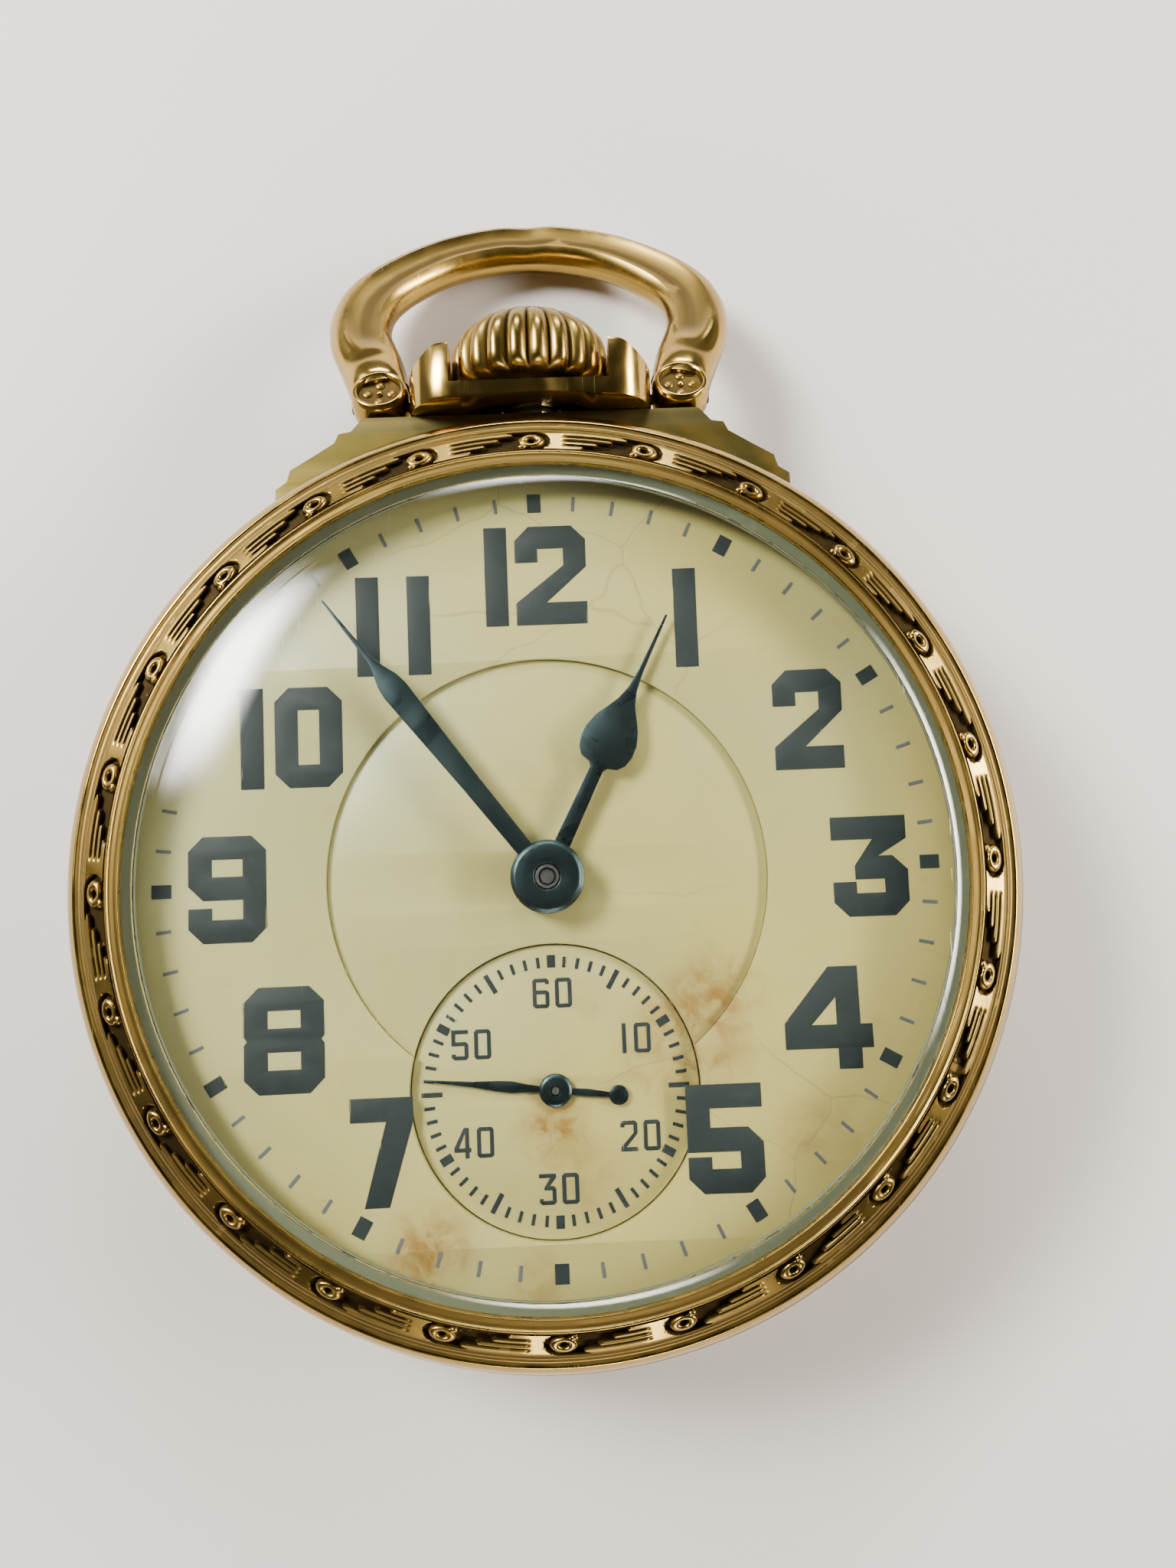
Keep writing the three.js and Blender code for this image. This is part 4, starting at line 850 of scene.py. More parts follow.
def lever_pocket():
    """The room that the setting lever slides out into, under the bezel."""
    outline = box_loop(-LEVER_POCKET / 2, 21.0, LEVER_POCKET / 2, 24.2)
    low = corner("setting_lever", 0)[2] - 0.15
    return cut_out("pocket", [outline], low, 10.0, mat("Satin gold"), 0.001, turn=LEVER_ANGLE - math.pi / 2)


def ball(name, middle, radius, material, sides=32):
    """A ball of rings about Z."""
    angles = np.linspace(-math.pi / 2, math.pi / 2, sides // 2 + 1)
    around = np.arange(sides) / sides * TAU
    rows = [
        np.stack([middle[0] + radius * math.cos(a) * np.cos(around),
                  middle[1] + radius * math.cos(a) * np.sin(around),
                  np.full(sides, middle[2] + radius * math.sin(a))], axis=1)
        for a in angles
    ]
    return grid_piece(name, rows, material)


# One repeat of the engraved border: an eye with a hooked ring, a dark recess, a feather of four ridges
# whose ends step across the recess, and a leaf tip that meets the next eye.

REPEATS = 24
BORDER = {"inner": 21.95, "channel": 23.0, "outer": 23.66}
EYE = {"along": 0.72, "out": 0.44, "middle": 0.5}  # half sizes of the eye, and how far out it lies
RECESS = 0.38  # depth of the cut


def smooth_step(value, low, high):
    """0 below low, 1 above high, smooth between."""
    t = np.clip((value - low) / (high - low), 0.0, 1.0)
    return t * t * (3 - 2 * t)


def border_relief(along, out, pitch):
    """Height of the engraving, and how far it is painted dark (painted shade in its cuts and grooves);
    along runs anticlockwise from an eye, out from the bead.
    """
    width = BORDER["channel"] - BORDER["inner"]
    along = np.where(along > pitch - 0.95, along - pitch, along)
    band = np.clip((1 - out / width) * 4, 0, 3.999)
    place = band % 1.0
    start = 0.92 + 0.74 * np.floor(band) + 0.3 * (2 * place - 1) ** 2
    feather = smooth_step(along, start - 0.04, start + 0.04)
    leaf = (along < 0).astype(float)
    land = np.maximum(feather, leaf)
    groove = (1 - smooth_step(np.minimum(place, 1 - place), 0.1, 0.3)) * (band > 0.3) * (band < 3.7)
    groove = groove * feather * (1 - smooth_step(along, 3.9, 4.35))
    height = -RECESS * (1 - land) - 0.13 * groove * land
    # Cuts and grooves are painted dark as painted shade; the feather's land is painted a little darker too.
    painted_dark = np.maximum(1 - land, 0.95 * groove)
    painted_dark = np.maximum(painted_dark, 0.35 * feather * (1 - smooth_step(along, 3.6, 4.3)))
    away = np.hypot(along / EYE["along"], (out - EYE["middle"]) / EYE["out"])
    hook = np.hypot((along - 0.5) / 0.3, (out - 0.16) / 0.19)
    away = np.minimum(away, 0.62 + 0.4 * hook)
    moat = smooth_step(away, 0.94, 1.04) * (1 - smooth_step(away, 1.28, 1.4))
    height = np.minimum(height, -RECESS * 0.85 * moat)
    painted_dark = np.maximum(painted_dark * (away > 1), moat)
    inside = 1 - smooth_step(away, 0.9, 1.02)
    ring = 0.02 + 0.09 * np.cos(np.clip((away - 0.62) / 0.3, -1, 1) * math.pi / 2)
    pit = 1 - smooth_step(away, 0.2, 0.36)
    height = height * (1 - inside) + (ring - 0.32 * pit) * inside
    return height, np.maximum(painted_dark * (1 - inside), pit * 0.9)


def border_piece(name, surface, material):
    """The engraved ring, lying on a surface that gives height for a radius."""
    columns = REPEATS * 88
    pitch = TAU * 22.6 / REPEATS
    radii = np.concatenate([
        np.linspace(BORDER["inner"], BORDER["channel"], 26),
        np.linspace(BORDER["channel"], BORDER["outer"], 14)[1:],
    ])
    angles = np.arange(columns) / columns * TAU
    along = (np.arange(columns) / columns * REPEATS % 1.0) * pitch
    layers, dark = [], []
    for radius in radii:
        if radius <= BORDER["channel"]:
            height, painted_dark = border_relief(along, np.full(columns, radius - BORDER["inner"]), pitch)
        else:
            share = (radius - BORDER["channel"]) / (BORDER["outer"] - BORDER["channel"])
            groove = 0.5 - 0.5 * math.cos(share * 3 * TAU)
            height, painted_dark = np.full(columns, -0.07 * groove), np.full(columns, 0.7 * groove)
        fade = min(1.0, (BORDER["outer"] - radius) / 0.05, (radius - BORDER["inner"]) / 0.05 + 0.15)
        z = surface(radius) + height * max(fade, 0.0)
        layers.append(np.stack([radius * np.cos(angles), radius * np.sin(angles), z], axis=1))
        dark.append(painted_dark)
    for radius in (BORDER["outer"], BORDER["inner"]):
        z = np.full(columns, surface(radius) - 0.55)
        layers.append(np.stack([radius * np.cos(angles), radius * np.sin(angles), z], axis=1))
        dark.append(np.zeros(columns))
    return grid_piece(name, layers, material, wrap_rows=True, crease=50.0, dark=dark)


def bezel_surface(radius):
    """Height of the plain bezel where the border is cut."""
    return np.interp(radius, [21.95, 22.95, 23.65], [11.85, 11.42, 10.97])


def make_bezel():
    """The screw bezel: an outer rim, the engraved border, and the lip that holds the crystal."""
    edge = BORDER["outer"] - 0.03
    outer = [
        (edge, 10.3), (edge, 10.95), (23.78, 10.97), (24.1, 10.66), (24.36, 10.2),
        (BEZEL_RADIUS - 0.02, 9.75), (BEZEL_RADIUS - 0.01, 9.3), (24.35, BAND_TOP + 0.02),
        (23.6, BAND_TOP + 0.02), (23.6, 10.0), (23.62, 10.3),
    ]
    rim = turned("bezel_rim", outer, mat("Polished gold"), sides=240, closed=True, soft=0.15)
    inside = BORDER["inner"] + 0.02
    inner = [
        (inside, 11.2), (inside, 11.7), (21.86, 11.72), (21.84, 11.95), (21.78, 12.02), (21.7, 12.02),
        (21.66, 11.95), (21.55, 11.93), (21.38, 11.97), (21.2, 12.09), (21.13, 12.08), (21.1, 11.95),
        (21.1, 11.8), (21.73, 11.8), (21.73, 10.92), (21.1, 10.92), (21.1, 10.4), (21.7, 10.05),
        (23.55, 10.0), (23.55, 10.3), (22.6, 10.8),
    ]
    # The concave part of the lip is painted dark brown: painted reflection.
    lip = turned("bezel_lip", inner, mat("Engraved gold"), sides=240, closed=True, soft=0.04,
                 dark=lambda radius, height: 0.6 * (21.18 < radius < 21.64 and height > 11.85))
    border = border_piece("bezel_border", bezel_surface, mat("Engraved gold"))
    placed(rim, "bezel_ring", "case_gold", "bezel")
    placed(lip, "bezel_ring", "case_gold")
    placed(border, "bezel_ring", "case_gold")


def crystal_profile():
    """Section of the domed crystal: its outside from the middle to the edge, and its inside back again."""
    outside = [(r, CRYSTAL_TOP - 0.0022 * r ** 2 - 2.6e-11 * r ** 8) for r in np.linspace(0, 20.25, 46)]
    bevel = [(20.32, 12.36), (20.7, 12.2), (20.98, 12.02), (21.05, 11.9), (21.05, 11.72)]
    edge = [(21.62, 11.7), (21.65, 11.6), (21.65, 11.1), (21.6, 11.02), (20.6, 11.02), (20.45, 11.08)]
    inside = [(r, 12.9 - 0.0022 * r ** 2 - 1.9e-11 * r ** 8) for r in np.linspace(20.3, 0, 40)]
    return [(float(r), float(z)) for r, z in outside + bevel + edge + inside]


def make_crystal():
    """The crystal, and a dark green ring under its edge that stands in for the look of the bevelled glass
    edge: painted reflection and shade.
    """
    glass = turned("watch_crystal", crystal_profile(), mat("Crystal glass"), sides=240, soft=0, crease=25.0)
    # Painted reflection and shade: a dark ring seen through the crystal's edge.
    edge_paint_ring = [(20.4, 10.66), (21.08, 10.66), (21.08, 10.94), (20.5, 10.98), (20.36, 10.9)]
    placed(glass, "bezel_ring", "crystal_glass", "crystal")
    placed(turned("crystal_seal", edge_paint_ring, mat("Seal"), closed=True, soft=0.05), "bezel_ring", "crystal_glass")


def make_back():
    back = turned("back_shell", back_profile(), mat("Polished gold"), sides=240, soft=0.6, crease=50.0)
    placed(back, "back", "case_gold", "back_cover")


# ---------------------------------------------------------------- neck, crown and bow

TO_STEM = Matrix.Translation((0, 0, STEM_Z)) @ Matrix.Rotation(-math.pi / 2, 4, "X")


def rounded_rectangle(half_width, half_height, radius, steps=8):
    """Outline of a rectangle with round corners."""
    points = []
    for sign_x, sign_y, start in ((1, 1, 0), (-1, 1, 1), (-1, -1, 2), (1, -1, 3)):
        middle = (sign_x * (half_width - radius), sign_y * (half_height - radius))
        for k in range(steps + 1):
            x, y = polar(radius, (start + k / steps) * math.pi / 2)
            points.append((middle[0] + x, middle[1] + y))
    return points


def make_neck():
    """The neck, notched for the crown, with ears that slope down outwards."""
    gold = mat("Polished gold")
    outline = rounded_rectangle(NECK_HALF, NECK_DEPTH, 2.6)
    neck = cut_out("pendant_collar", [outline], NECK_BOTTOM, NECK_TOP, gold, 0.2)
    recess = turned("recess", [(0, NECK_FLOOR), (NOTCH, NECK_FLOOR), (NOTCH, 32), (0, 32)], gold)
    notch = cut_out("notch", [box_loop(-NOTCH + 0.4, -9, NOTCH - 0.4, 9)], NECK_FLOOR, 32, gold, 0.001)
    bore = turned("bore", [(0, 20), (1.95, 20), (1.95, 30), (0, 30)], gold, sides=48)
    saddle = turned("saddle", [(0, -12), (25.47, -12), (25.47, 12), (0, 12)], gold, sides=240)
    moved(saddle, Matrix.Rotation(math.pi / 2, 4, "X"))
    slopes = []
    for side in (-1, 1):
        corners = [(NOTCH - 0.3, NECK_TOP + 0.1), (NOTCH + 0.5, NECK_TOP - 0.15),
                   (7.5, NECK_TOP - 1.75), (7.5, 31), (4.2, 31)]
        wedge = cut_out("slope", [[(side * x, y) for x, y in corners]], -6, 6, gold, 0.001)
        slopes.append(moved(wedge, Matrix.Rotation(math.pi / 2, 4, "X")))
    neck = boolean(neck, [recess, notch, bore, saddle, *slopes])
    moved(neck, TO_STEM)
    placed(neck, "case", "case_gold", "pendant_neck")


def make_crown(flutes):
    """The winding crown; its profile is (radius, height, how deep the flutes are there)."""
    columns = flutes * 14
    angles = np.arange(columns) / columns * TAU
    lobes = np.abs(np.cos(angles * flutes / 2)) ** 0.6
    low, high = CROWN_BOTTOM, CROWN_TOP
    wide = CROWN_RADIUS - 0.02
    profile = [
        (0.0, high, 0), (0.9, high - 0.02, 0), (1.9, high - 0.12, 0), (2.7, high - 0.34, 0.1),
        (3.3, high - 0.66, 0.5), (3.8, high - 1.06, 0.9), (4.14, high - 1.5, 1), (4.36, high - 2.05, 1),
        (wide, high - 2.65, 1),
        (wide, low + 0.95, 1), (4.4, low + 0.55, 1), (4.22, low + 0.28, 0.8), (3.95, low + 0.12, 0.45),
        (3.6, low + 0.02, 0.1), (3.3, low, 0), (2.5, low, 0), (2.5, low + 1.6, 0), (0.85, low + 1.6, 0),
        (0.85, low + 2.7, 0), (0.0, low + 2.7, 0),
    ]
    rows = []
    dark = []
    for radius, z, depth in profile:
        wall = radius - 0.5 * depth * (1 - lobes)
        rows.append(np.stack([wall * np.cos(angles), wall * np.sin(angles), np.full(columns, z)], axis=1))
        # The valleys between the flutes are painted dark: painted shade.
        dark.append(depth * smooth_step(1 - lobes, 0.25, 0.8))
    crown = grid_piece("winding_crown", rows, mat("Engraved gold"), crease=55.0, dark=dark)
    moved(crown, TO_STEM)
    placed(crown, "winder", "case_gold", "crown")


BOW_DEPTH = 1.25  # half the thickness of the bow
BOW_REACH = 13.75  # from the pivots to the middle of the top
BOW_HALF = [(8.4, 0.9), (8.95, 3.0), (9.8, 5.8), (9.4, 8.5), (7.6, 10.8), (4.3, 12.9)]
# Section of the loop, outwards and towards the front, for half a width of 1: ridge, hollow and inner edge.
LOOP_SECTION = [
    (1.0, 0.0), (0.95, 0.4), (0.8, 0.74), (0.6, 0.95), (0.42, 1.0), (0.3, 0.92), (0.12, 0.76),
    (-0.12, 0.68), (-0.36, 0.7), (-0.56, 0.8), (-0.7, 0.82), (-0.85, 0.66), (-0.96, 0.36),
]


def bow_path(steps=110):
    """Middle line of the bow in its own plane, from one pivot over the top to the other."""
    points = BOW_HALF + [(0.0, BOW_REACH)] + [(-x, y) for x, y in reversed(BOW_HALF)]
    points = [points[0], *points, points[-1]]
    path = []
    spans = len(points) - 3
    for k in range(steps + 1):
        at = min(k / steps * spans, spans - 1e-9)
        i, t = int(at), at % 1.0
        a, b, c, d = (np.array(p) for p in points[i:i + 4])
        bend = (2 * a - 5 * b + 4 * c - d) * t ** 2
        twist = (3 * b - a - 3 * c + d) * t ** 3
        path.append(0.5 * (2 * b + (c - a) * t + bend + twist))
    return np.array(path)


def loop_mesh(gold):
    """The swept loop, hollowed on its front over the top and round where it meets the bosses."""
    path = bow_path()
    ways = np.gradient(path, axis=0)
    ways /= np.linalg.norm(ways, axis=1)[:, None]
    across = np.stack([ways[:, 1], -ways[:, 0]], axis=1)
    back = [(-math.cos(a), -math.sin(a)) for a in np.arange(0, 15) / 15 * math.pi]
    shaped = np.array(LOOP_SECTION + back)
    around = np.arctan2(shaped[:, 1], shaped[:, 0])
    plain = np.stack([np.cos(around), np.sin(around)], axis=1)
    # The hollow on the front of the loop is painted dark brown: painted reflection.
    painted_dark_band = 0.92 * np.exp(-((shaped[:, 0] + 0.2) / 0.5) ** 2) * (shaped[:, 1] > 0)
    rows, dark = [], []
    for k, (spot, side) in enumerate(zip(path, across)):
        share = np.array(abs(k / (len(path) - 1) - 0.5) * 2)
        wide = 1.32 + 0.48 * smooth_step(share, 0.1, 0.6) - 0.12 * smooth_step(share, 0.8, 1.0)
        deep = BOW_DEPTH - 0.01 + 0.1 * smooth_step(share, 0.84, 0.9) - 0.2 * smooth_step(share, 0.93, 1.0)
        crease = 0.14 * math.exp(-(float(share) / 0.035) ** 2)
        blend = smooth_step(share, 0.7, 0.82)
        section = shaped * (1 - blend) + plain * blend
        up = section[:, 1] * deep * (1 - crease * (section[:, 1] > 0))
        out = section[:, 0] * wide
        rows.append(np.stack([spot[0] + side[0] * out, spot[1] + side[1] * out, up], axis=1))
        dark.append(painted_dark_band * (1 - blend))
    ends = [np.repeat(row.mean(axis=0, keepdims=True), len(shaped), 0) for row in (rows[0], rows[-1])]
    painted_dark = [dark[0], *dark, dark[-1]]
    return grid_piece("bow_loop", [ends[0], *rows, ends[1]], gold, crease=40.0, dark=painted_dark)


def boss(side, gold):
    """The round end of the leg: a rim round a sunk face with four petals and a dot."""
    profile = [(0, -1.4), (0.75, -1.32), (1.28, -0.95), (1.58, -0.35), (1.62, 0.3), (1.53, 1.0),
               (1.43, 1.22), (1.3, 1.27), (1.2, 1.2), (1.14, 0.84), (0, 0.78)]
    # The sunk face is painted dark, and the petals less: painted shade.
    pieces = [turned("bow_boss", profile, gold, sides=64, at=(side * BOSS_X, 0), soft=0.04,
                     dark=lambda radius, height: 0.9 * (radius < 1.17 and height > 0))]
    for k in range(4):
        x, y = polar(0.66, k * math.pi / 2)
        petal = [(0, 0.98), (0.14, 0.96), (0.26, 0.89), (0.31, 0.7), (0, 0.7)]
        pieces.append(turned("petal", petal, gold, sides=20, at=(side * BOSS_X + x, y), soft=0.04,
                             dark=lambda radius, height: 0.55))
    dot = [(0, 1.02), (0.12, 1.0), (0.18, 0.92), (0.18, 0.7), (0, 0.7)]
    pieces.append(turned("dot", dot, gold, sides=16, at=(side * BOSS_X, 0), soft=0.03))
    return pieces


def make_bow():
    """The bow, leaning back about its pivots."""
    gold = mat("Polished gold")
    pieces = [loop_mesh(gold)]
    for side in (-1, 1):
        pieces += boss(side, gold)
    bow = joined("bow_loop", pieces)
    moved(bow, Matrix.Translation(BOW_PIVOT) @ Matrix.Rotation(-bow_lean(), 4, "X"))
    placed(bow, "bow_loop", "case_gold", "bow")


def bow_lean():
    """How far the bow leans back, read from the frame: its top rests on the table."""
    lowest = corner("bow", 0)[2] + 0.15
    angle = 0.0
    for _ in range(40):
        angle = math.asin((BOW_PIVOT[2] - lowest - BOW_DEPTH * math.cos(angle)) / BOW_REACH)
    return angle


# ---------------------------------------------------------------- dial

def dial_hole():
    """Outline of the middle circle and the seconds circle taken together."""
    big, small, shift = CENTRE_RADIUS, SECONDS_RADIUS, -FOURTH[1]
    meet = (big ** 2 - small ** 2 + shift ** 2) / (2 * shift)
    half = math.acos(meet / big)
    small_half = math.acos((shift - meet) / small)
    points = []
    steps = 140
    for k in range(steps + 1):
        points.append(polar(big, -math.pi / 2 + half + (TAU - 2 * half) * k / steps))
    for k in range(1, steps):
        x, y = polar(small, math.pi / 2 + small_half + (TAU - 2 * small_half) * k / steps)
        points.append((x, y - shift))
    return points


def centre_outline(gap):
    """The sunk middle of the dial: its circle less the seconds circle."""
    big, small, shift = CENTRE_RADIUS - gap, SECONDS_RADIUS + gap, -FOURTH[1]
    meet = (big ** 2 - small ** 2 + shift ** 2) / (2 * shift)
    half = math.acos(meet / big)
    small_half = math.acos((shift - meet) / small)
    steps = 120
    points = [polar(big, -math.pi / 2 + half + (TAU - 2 * half) * k / steps) for k in range(steps + 1)]
    for k in range(1, steps):
        x, y = polar(small, math.pi / 2 + small_half - 2 * small_half * k / steps)
        points.append((x, y - shift))
    return points


def box_loop(x0, y0, x1, y1):
    """Outline of a rectangle from two of its corners."""
    return [(x0, y0), (x1, y0), (x1, y1), (x0, y1)]


def digit_loops(digit, w, h, t):
    """Outline and holes of a block numeral with cut corners; t is the stroke."""
    c = 0.62 * t
    waist = 0.6 * h
    cut_box = [(c, 0), (w - c, 0), (w, c), (w, h - c), (w - c, h), (c, h), (0, h - c), (0, c)]
    lower_bowl = [(w - c, waist), (w, waist - c), (w, c), (w - c, 0), (c, 0), (0, c), (0, 1.5 * t),
                  (t, 1.5 * t), (t, t), (w - t, t), (w - t, waist - t)]
    six = [(c, h), (w - c, h), (w, h - c), (w, h - 1.5 * t), (w - t, h - 1.5 * t), (w - t, h - t),
           (t, h - t), (t, waist), (w - c, waist), (w, waist - c), (w, c), (w - c, 0), (c, 0), (0, c),
           (0, h - c)]
    six_hole = box_loop(t, t, w - t, waist - t)
    cross = 0.2 * h
    stem = w - 1.5 * t
    shapes = {
        "0": [cut_box, box_loop(t, t, w - t, h - t)],
        "1": [box_loop(0, 0, t, h)],
        "2": [[(0, h - 1.6 * t), (0, h - c), (c, h), (w - c, h), (w, h - c), (w, 0.58 * h), (1.35 * t, t),
               (w, t), (w, 0), (0, 0), (0, t), (w - t, 0.6 * h), (w - t, h - t), (t, h - t),
               (t, h - 1.6 * t)]],
        "3": [[(0, h), (w, h), (w, h - t), (0.62 * w, waist), *lower_bowl, (0.3 * w, waist - t),
               (0.3 * w, waist - 0.4 * t), (w - 1.45 * t, h - t), (0, h - t)]],
        "4": [[(stem - 0.25 * t, h), (stem + t, h), (stem + t, cross + t), (w, cross + t), (w, cross),
               (stem + t, cross), (stem + t, 0), (stem, 0), (stem, cross), (0, cross),
               (0, cross + 1.1 * t)],
              [(1.15 * t, cross + t), (stem, cross + t), (stem, h - 1.3 * t)]],
        "5": [[(0, h), (w, h), (w, h - t), (t, h - t), (t, waist), *lower_bowl, (0, waist - t)]],
        "6": [six, six_hole],
        "7": [[(0, h), (w, h), (w, h - t), (0.42 * w + 0.5 * t, 0), (0.42 * w - 0.55 * t, 0),
               (w - 1.15 * t, h - t), (0, h - t)]],
        "8": [[(c, 0), (w - c, 0), (w, c), (w, h / 2 - 0.2), (w - 0.15, h / 2), (w, h / 2 + 0.2),
               (w, h - c), (w - c, h), (c, h), (0, h - c), (0, h / 2 + 0.2), (0.15, h / 2),
               (0, h / 2 - 0.2), (0, c)],
              box_loop(t, t, w - t, h / 2 - t / 2), box_loop(t, h / 2 + t / 2, w - t, h - t)],
        "9": [[(w - x, h - y) for x, y in six], [(w - x, h - y) for x, y in six_hole]],
    }
    return shapes[digit]


# Hour numerals: digit, left edge, lower edge, width and height, on the dial's own axes.
HOURS = [
    ("1", -2.7, 13.1, 1.2, 5.2), ("2", -1.1, 13.1, 3.7, 5.2), ("1", 7.1, 10.6, 1.2, 5.2),
    ("2", 12.0, 5.0, 3.55, 5.2), ("3", 14.6, -2.66, 3.8, 5.1), ("4", 11.7, -10.22, 4.4, 5.1),
    ("5", 6.5, -16.04, 3.8, 5.3), ("7", -10.3, -16.0, 3.15, 5.3), ("8", -15.5, -10.3, 4.0, 5.3),
    ("9", -18.2, -2.7, 3.9, 5.4), ("1", -15.5, 5.05, 1.2, 5.2), ("0", -13.75, 5.05, 3.45, 5.2),
    ("1", -9.45, 10.7, 1.2, 5.2), ("1", -6.8, 10.7, 1.2, 5.2),
]


def printed(name, digits, stroke, top, bevel=0.004):
    """Numerals as thin raised print."""
    pieces = []
    for digit, x, y, width, height in digits:
        shape = digit_loops(digit, width, height, stroke)
        loops = [[(x + across, y + up) for across, up in loop] for loop in shape]
        pieces.append(cut_out("numeral", loops, top - 0.01, top + PRINT, mat("Numeral paint"), bevel))
    return joined(name, pieces)


def make_dial():
    """The dial in three discs: the outer ring, the sunk middle and the deeper seconds dial."""
    white = mat("Aged enamel")
    low = corner("dial_centre", 0)[2]
    ring_loops = [circle(DIAL_RADIUS, sides=240), dial_hole()]
    ring = cut_out("dial_outer", ring_loops, low + 0.15, DIAL_TOP, white, 0.03)
    middle_loops = [centre_outline(0.012), circle(1.3)]
    middle = cut_out("dial_middle", middle_loops, low, CENTRE_TOP, white, 0.05)
    seconds_loops = [circle(SECONDS_RADIUS - 0.05, FOURTH, 160), circle(0.5, FOURTH, 32)]
    seconds = cut_out("dial_seconds", seconds_loops, corner("seconds_dial", 0)[2], SECONDS_TOP, white, 0.08)
    placed(ring, "case", "enamel", "dial_ring")
    placed(middle, "case", "enamel", "dial_centre")
    placed(seconds, "case", "enamel", "seconds_dial")


def make_print(stroke):
    """The numerals, the minute marks and the seconds marks."""
    ink = mat("Numeral paint")
    hours = printed("hour_numerals", HOURS, stroke, DIAL_TOP)
    squares = marks("five_minute_marks", 12, TRACK_RADIUS, (0.95, 0.7), DIAL_TOP, ink)
    minutes = marks("minute_marks", 60, TRACK_RADIUS, (0.74, 0.17), DIAL_TOP, mat("Thin paint"), skip=5)
    digits = []
    for k, number in enumerate(("60", "10", "20", "30", "40", "50")):
        angle = math.pi / 2 - k * math.pi / 3
        x, y = FOURTH[0] + 4.85 * math.cos(angle), FOURTH[1] + 4.85 * math.sin(angle)
        first = 0.3 if number[0] == "1" else 0.85
        total = first + 0.3 + 0.85
        digits.append((number[0], x - total / 2, y - 0.75, first, 1.5))
        digits.append((number[1], x - total / 2 + first + 0.3, y - 0.75, 0.85, 1.5))
    numbers = printed("seconds_numerals", digits, 0.2, SECONDS_TOP, 0.002)
    ticks = marks("seconds_marks", 60, 6.42, (0.55, 0.17), SECONDS_TOP, ink, skip=5, at=FOURTH)
    tens = marks("ten_second_marks", 6, 6.45, (0.64, 0.42), SECONDS_TOP, ink, at=FOURTH, start=math.pi / 2)
    fives = marks("five_second_marks", 6, 6.25, (1.05, 0.24), SECONDS_TOP, ink,
                  at=FOURTH, start=math.pi / 3)
    for piece in (hours, squares, minutes, numbers, ticks, tens, fives):
        placed(piece, "case", "enamel")


# ---------------------------------------------------------------- hands

def hand_turn(node, pivot):
    """Angle of a hand of the frame from 12 o'clock, from where its farthest point lies."""
    mesh = frame["nodes"][node].data
    points = np.array([v.co[:2] for v in mesh.vertices]) / MM - np.array(pivot)
    tip = points[np.argmax(np.hypot(points[:, 0], points[:, 1]))]
    return math.atan2(tip[1], tip[0]) - math.pi / 2


def hand(name, half, bottom, top, node, pivot, body, boss, extra=()):
    """A hand turned as its frame node is: half its outline, its boss, and round weights on its tail.

    The boss is given as (bore, bottom, radius, top), and each weight as (across, along, radius).
    """
    steel = mat("Blued steel")
    turn = hand_turn(node, pivot)
    outline = half + [(-x, y) for x, y in reversed(half)]
    blade = cut_out(name, [outline], bottom, top, steel, 0.05, pivot, turn)
    bore, low, wide, high = boss
    profile = [(bore, low), (wide, low), (wide, high - 0.12), (wide - 0.18, high - 0.02),
               (wide - 0.5, high), (bore, high)]
    hub = turned(name + "_boss", profile, steel, sides=64, at=pivot, closed=True, soft=0.06)
    pieces = [blade, hub]
    for x, y, radius in extra:
        away = math.hypot(x, y)
        angle = math.atan2(y, x) + turn
        spot = (pivot[0] + away * math.cos(angle), pivot[1] + away * math.sin(angle))
        weight = [(0, bottom), (radius, bottom), (radius, top), (radius * 0.6, top + 0.05), (0, top + 0.06)]
        pieces.append(turned("weight", weight, steel, sides=32, at=spot, soft=0.03))
    placed(joined(name, pieces), body, "blued_steel", node)


def make_hands():
    """The three hands; each outline is half the width of the hand at distances from its pivot."""
    hour_half = [(0.43, 1.2), (0.36, 6.0), (0.5, 6.25), (1.0, 6.4), (1.3, 6.75), (1.45, 7.3), (1.42, 7.9),
                 (1.2, 8.6), (0.82, 9.25), (0.48, 9.85), (0.25, 10.6), (0.14, 11.6), (0.06, 14.85)]
    minute_half = [(0.44, 1.2), (0.5, 6.0), (0.66, 11.4), (0.68, 12.2), (0.6, 12.8), (0.36, 13.5),
                   (0.17, 14.2), (0.12, 15.5), (0.06, 18.15)]
    seconds_half = [(0.12, -2.8), (0.2, -1.6), (0.16, -0.6), (0.16, 0.8), (0.2, 1.4), (0.3, 2.2),
                    (0.26, 3.0), (0.14, 4.2), (0.09, 5.5), (0.05, 6.65)]
    low = corner("hour_hand", 0)[2]
    hand("hour_spade", hour_half, low + 0.05, low + 0.25, "hour_hand", CENTRE, "hour",
         (1.1, low, 1.88, low + 0.4))
    low = corner("minute_hand", 0)[2]
    hand("minute_lance", minute_half, low + 0.05, low + 0.25, "minute_hand", CENTRE, "minute",
         (0.66, low, 1.78, low + 0.4))
    low = corner("seconds_hand", 0)[2]
    hand("seconds_pointer", seconds_half, low, low + 0.12, "seconds_hand", FOURTH, "seconds",
         (0.27, low, 0.84, low + 0.28), extra=[(0, -3.2, 0.5)])


# ---------------------------------------------------------------- frame nodes that keep their shape

